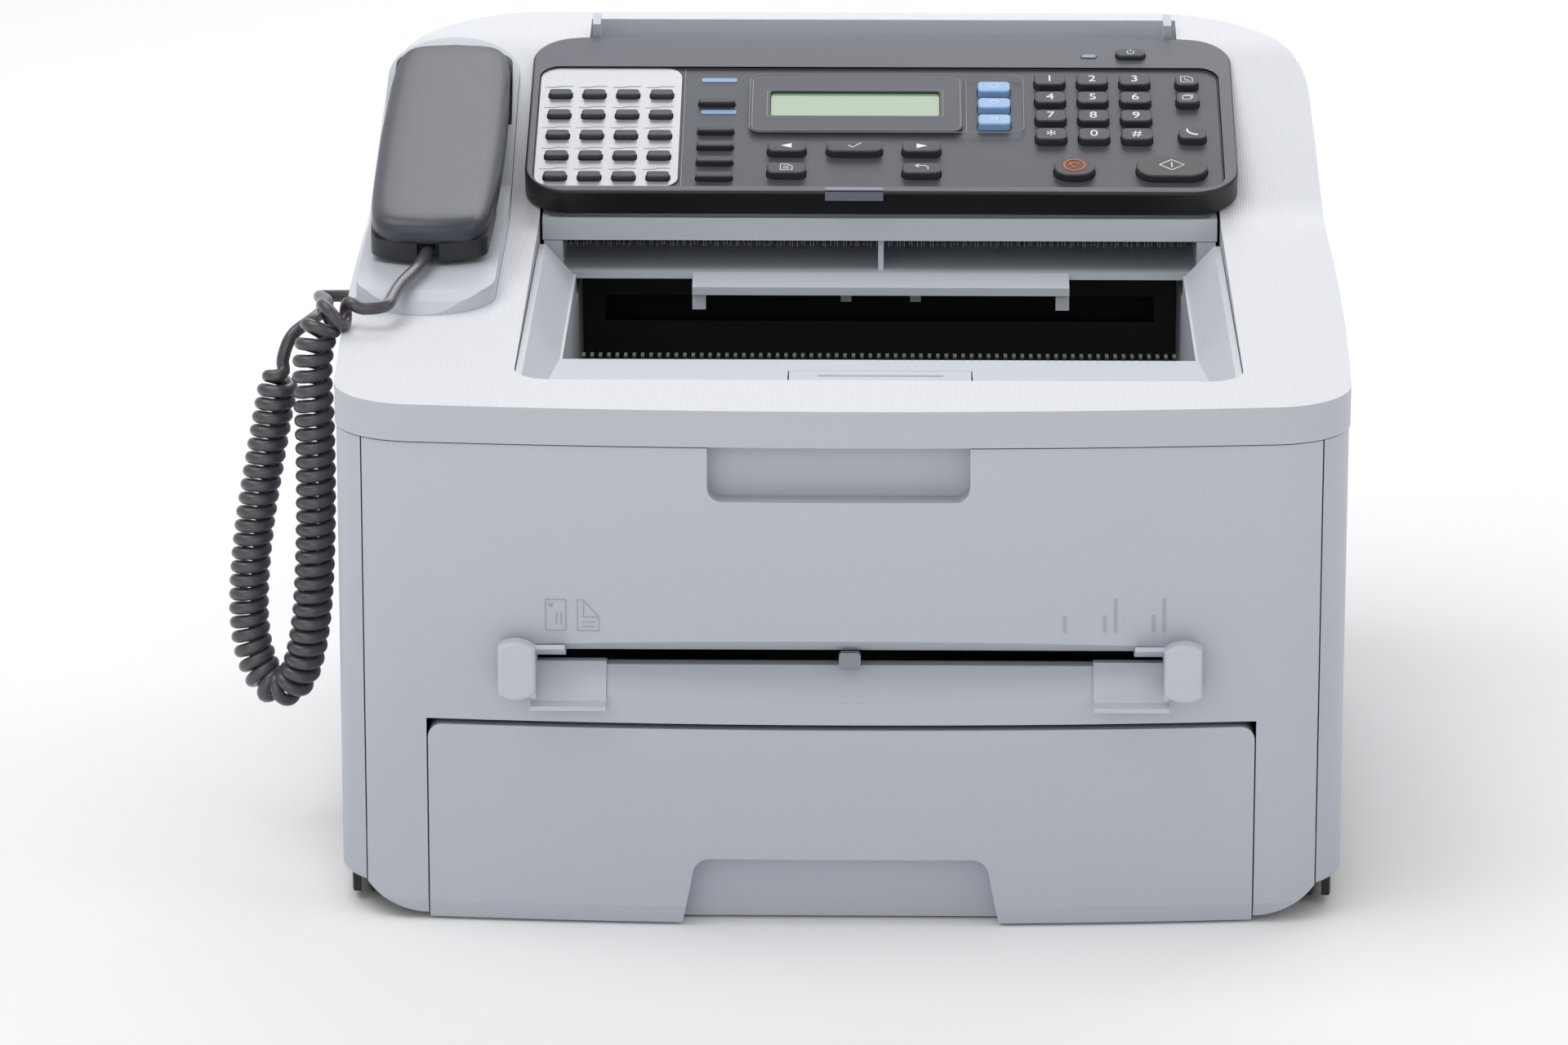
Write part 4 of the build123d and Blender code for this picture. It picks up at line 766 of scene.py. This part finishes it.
# %% Plates and frames on the panel
FIELD_TOP = -1.0
ONE_TOUCH = [(-121.6 + 12.8 * c, 70.2 - 14.85 * r) for r in range(5) for c in range(4)]
plate(
    "speed_dial_plate",
    [rounded(53.5, 86.0, 6.5, -102.6, 47.5)] + [rounded(9.4, 5.4, 1.6, x, t) for x, t in ONE_TOUCH],
    panel_matrix(0, 0, FIELD_TOP), "panel", silver, 0.35,
)
lines(
    "speed_dial_notches",
    [[(x - 6.0, t + 6.2), (x - 1.5, t + 6.2), (x - 0.2, t + 6.9), (x + 4.6, t + 6.9)] for x, t in ONE_TOUCH],
    panel_matrix(0, 0, FIELD_TOP + 0.3), "panel", "steel", silver, 0.5,
)
lines(
    "panel_frames",
    [rounded(257.0, 86.2, 7.6, -1.0, 47.5), rounded(54.2, 86.6, 6.8, -102.6, 47.5)],
    panel_matrix(0, 0, FIELD_TOP), "panel", "panel_dark", trim_dark, 0.8, closed=True,
)
lines(
    "display_frame",
    [rounded(103.5, 42.0, 4.5, 1.9, 63.2), rounded(78.5, 38.5, 3.6, -9.5, 63.0), rounded(66.5, 20.5, 2.2, -10, 63)],
    panel_matrix(0, 0, 0.55), "panel", "panel_dark", trim_light, 0.35, closed=True,
)
lines(
    "display_divider", [[(32.0, 43.5), (32.0, 83.0)], [(-74.6, 5.0), (-74.6, 90.0)]],
    panel_matrix(0, 0, FIELD_TOP), "panel", "panel_dark", trim_light, 0.35,
)
for name, x, t in (("tag_upper", -61.6, 82.3), ("tag_lower", -61.5, 58.8)):
    plate(name, [rounded(13.4, 2.8, 0.8, x, t)], panel_matrix(0, 0, FIELD_TOP), "panel", tag_blue, 0.2)
plate("ready_lamp", [rounded(5.4, 2.3, 0.9, 79, 99.2)], panel_matrix(0, 0, 0), "panel", led_grey, 0.35)
lines("ready_lamp_rim", [rounded(6.0, 2.9, 1.1, 79, 99.2)], panel_matrix(0, 0, 0), "panel", "panel_dark", trim_dark, 0.4, True)
print("panel trims ready")

# %% [markdown]
# ## Legends on the keys
#
# Only numbers and plain signs are printed: digits, arrows, a tick, a power sign and a few
# everyday pictures. Each mark rides on its own key.

# %% Digits
DIGITS = ("1", "2", "3", "4", "5", "6", "7", "8", "9", "star", "0", "hash")
SIGNS = {"star": "*", "hash": "#"}
KEY_TOP = 1.8
for index, name in enumerate(DIGITS):
    x = 63.7 + 16.1 * (index % 3)
    t = 79.7 - 13.35 * (index // 3)
    letter = bpy.data.curves.new("digit_" + name, "FONT")
    letter.body = SIGNS.get(name, name)
    letter.size = (8.5 if name == "star" else 6.2) * MM
    letter.align_x = "CENTER"
    letter.align_y = "CENTER"
    letter.extrude = 0.05 * MM
    holder = bpy.data.objects.new("digit_" + name, letter)
    bpy.context.scene.collection.objects.link(holder)
    settle(holder, panel_matrix(x, t - (1.4 if name == "star" else 0), KEY_TOP + 0.03), f"key_{name}_body", legend_white)

# %% Signs
TRIANGLE = [(-1.9, 1.3), (1.9, 1.3), (0, -2.0), (-1.9, 1.3)]
PHONE = [(-2.0, 1.9), (-1.8, 0.4), (-0.9, -0.9), (0.4, -1.7), (2.0, -1.9)]
PAGE = [(-2.2, -2.0), (-2.2, 2.0), (0.4, 2.0), (2.2, 0.6), (2.2, -2.0), (-2.2, -2.0)]
SIGN_LINES = (
    ("start_sign", "start_key", 108.3, 17.2, legend_white, 0.5,
     [[(-4.6, 0), (0, 3.6), (4.6, 0), (0, -3.6), (-4.6, 0)], [(0, 1.7), (0, -1.7)]]),
    ("stop_sign", "stop_key", 72.0, 16.8, legend_orange, 0.6, [circle(3.9), TRIANGLE]),
    ("power_sign", "power_key", 94.9, 99.6, legend_white, 0.35,
     [circle(1.35, 0, 0, 125, 415), [(0, 0.5), (0, 1.9)]]),
    ("tick_sign", "ok_key", -10.1, 30.4, legend_white, 0.5, [[(-2.2, 0.1), (-0.7, -1.5), (2.4, 1.7)]]),
    ("menu_sign", "menu_keys", -35.4, 14.8, legend_white, 0.4, [PAGE, [(-1.2, 0.5), (1.0, 0.5)], [(-1.2, -0.8), (1.2, -0.8)]]),
    ("back_sign", "menu_keys", 15.0, 14.8, legend_white, 0.45,
     [[(2.4, -1.6), (2.5, 0.3), (1.2, 1.3), (-2.2, 1.2)], [(-0.9, 2.2), (-2.3, 1.2), (-1.0, 0.0)]]),
    ("book_sign", "call_keys", 115.7, 79.6, legend_white, 0.4, [PAGE, [(-0.9, 0.7), (-0.4, -0.5), (1.0, -0.9)]]),
    ("copy_sign", "call_keys", 115.7, 66.4, legend_white, 0.4,
     [rounded(3.2, 2.6, 0.4, -0.3, -0.3) + [(1.3, 0.6)], [(-1.2, 1.5), (1.9, 1.5), (1.9, -0.9)]]),
    ("call_sign", "call_keys", 116.7, 40.8, legend_white, 0.95, [PHONE]),
)
for name, key, x, t, finish, width, strokes in SIGN_LINES:
    lines(name, strokes, panel_matrix(x, t, KEY_TOP), key + "_body", "key_black", finish, width)
for name, x, turn in (("left_arrow", -35.4, 1), ("right_arrow", 15.0, -1)):
    plate(
        name, [[(-2.2 * turn, 0), (1.8 * turn, 1.6), (1.8 * turn, -1.6)]],
        panel_matrix(x, 30.3, KEY_TOP - 0.1), "menu_keys_body", legend_white, 0.15,
    )
BLUE_SIGNS = ([(-1.6, -1.2), (1.6, -1.2)], [(-2.0, 0.9), (2.0, 0.9)], [(-1.4, 0.0), (1.6, 0.6)])
for index, t in enumerate((74.0, 62.0, 50.0)):
    lines(
        f"blue_sign_{index}", [BLUE_SIGNS[index], circle(1.5 - 0.2 * index)],
        panel_matrix(42.5, t + 0.2, KEY_TOP), "blue_keys_body", "key_blue", legend_white, 0.35,
    )
print("legends ready")

# %% [markdown]
# ## Marks on the front cover and small fittings
#
# Two page pictures and five paper-width ticks are moulded in relief above the bypass slot.
# The front is bowed, so each mark is laid on the bow at its own place. Under the panel an
# earthed brush takes the charge off the scanned page.

# %% Front marks
BOW_RADIUS = 1527.5


def front_matrix(x, z):
    """Placement on the bowed front face."""
    spot = Vector((x * MM, FRONT + (x * x / (2 * BOW_RADIUS) + 0.5) * MM, z * MM))
    turn = Matrix.Rotation(x / BOW_RADIUS, 4, "Z") @ Matrix.Rotation(math.pi / 2, 4, "X")
    return Matrix.Translation(spot) @ turn


lines(
    "envelope_mark",
    [rounded(7.0, 11.0, 0.3) + [(3.5, 5.2)], [(0.3, 1.0), (0.3, -3.4)], [(1.9, 1.0), (1.9, -3.4)],
     rounded(1.2, 1.0, 0.2, -1.6, 3.6)],
    front_matrix(-98.2, 112.5), "front_door", "case_grey", emboss_grey, 0.45,
)
lines(
    "page_mark",
    [[(-3.7, -5.5), (-3.7, 5.5), (-1.6, 5.5), (3.7, -0.6), (3.7, -5.5), (-3.7, -5.5)],
     [(-1.6, 5.5), (-1.6, -0.6), (3.7, -0.6)], [(-2.0, -2.4), (2.2, -2.4)], [(-2.0, -4.0), (2.2, -4.0)]],
    front_matrix(-87.0, 112.5), "front_door", "case_grey", emboss_grey, 0.45,
)
SIZE_MARKS = ((76.9, 107, 113), (90.6, 107, 113), (94.3, 107, 119), (107.4, 107, 113), (111.0, 107, 119))
for index, (x, z0, z1) in enumerate(SIZE_MARKS):
    plate(
        f"size_mark_{index}", [rounded(0.9, z1 - z0, 0.3, 0, (z0 + z1) / 2 - 113)],
        front_matrix(x, 113), "front_door", emboss_grey, 0.2,
    )

# %% Slot pad and earthing brush
pad_place = front_matrix(3.0, 96.2) @ Matrix.Translation((0, 0, -7 * MM))
plate("slot_pad", [rounded(7.5, 5.2, 1.4)], pad_place, "front_door", trim_light, 3.0)


def brush_strip():
    """Dark holder with a row of fine bristles under the panel's front wall."""
    shape = bmesh.new()

    def block(x0, x1, y0, y1, z0, z1):
        low, high = Vector((x0, FRONT / MM + y0, z0)) * MM, Vector((x1, FRONT / MM + y1, z1)) * MM
        made = bmesh.ops.create_cube(shape, size=1.0)["verts"]
        for vertex in made:
            vertex.co = Vector([low[i] + (vertex.co[i] + 0.5) * (high[i] - low[i]) for i in range(3)])
        return made

    block(-104, 129, 256.0, 258.0, 182.2, 184.6)
    strip = len(shape.faces)
    for index in range(150):
        x = -103 + index * 1.54 + 0.4 * math.sin(index * 2.4)
        block(x, x + 0.22, 255.6, 255.8, 181.2 + 0.4 * math.sin(index * 1.7), 183.4)
    for number, face in enumerate(shape.faces):
        face.material_index = 0 if number < strip else 1
    mesh = bpy.data.meshes.new("earthing_brush")
    shape.to_mesh(mesh)
    shape.free()
    mesh.materials.append(brush_black.material)
    mesh.materials.append(bristle.material)
    brush = bpy.data.objects.new("earthing_brush", mesh)
    bpy.context.scene.collection.objects.link(brush)
    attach(brush, "machine")


brush_strip()
print("front marks, pad and brush ready")
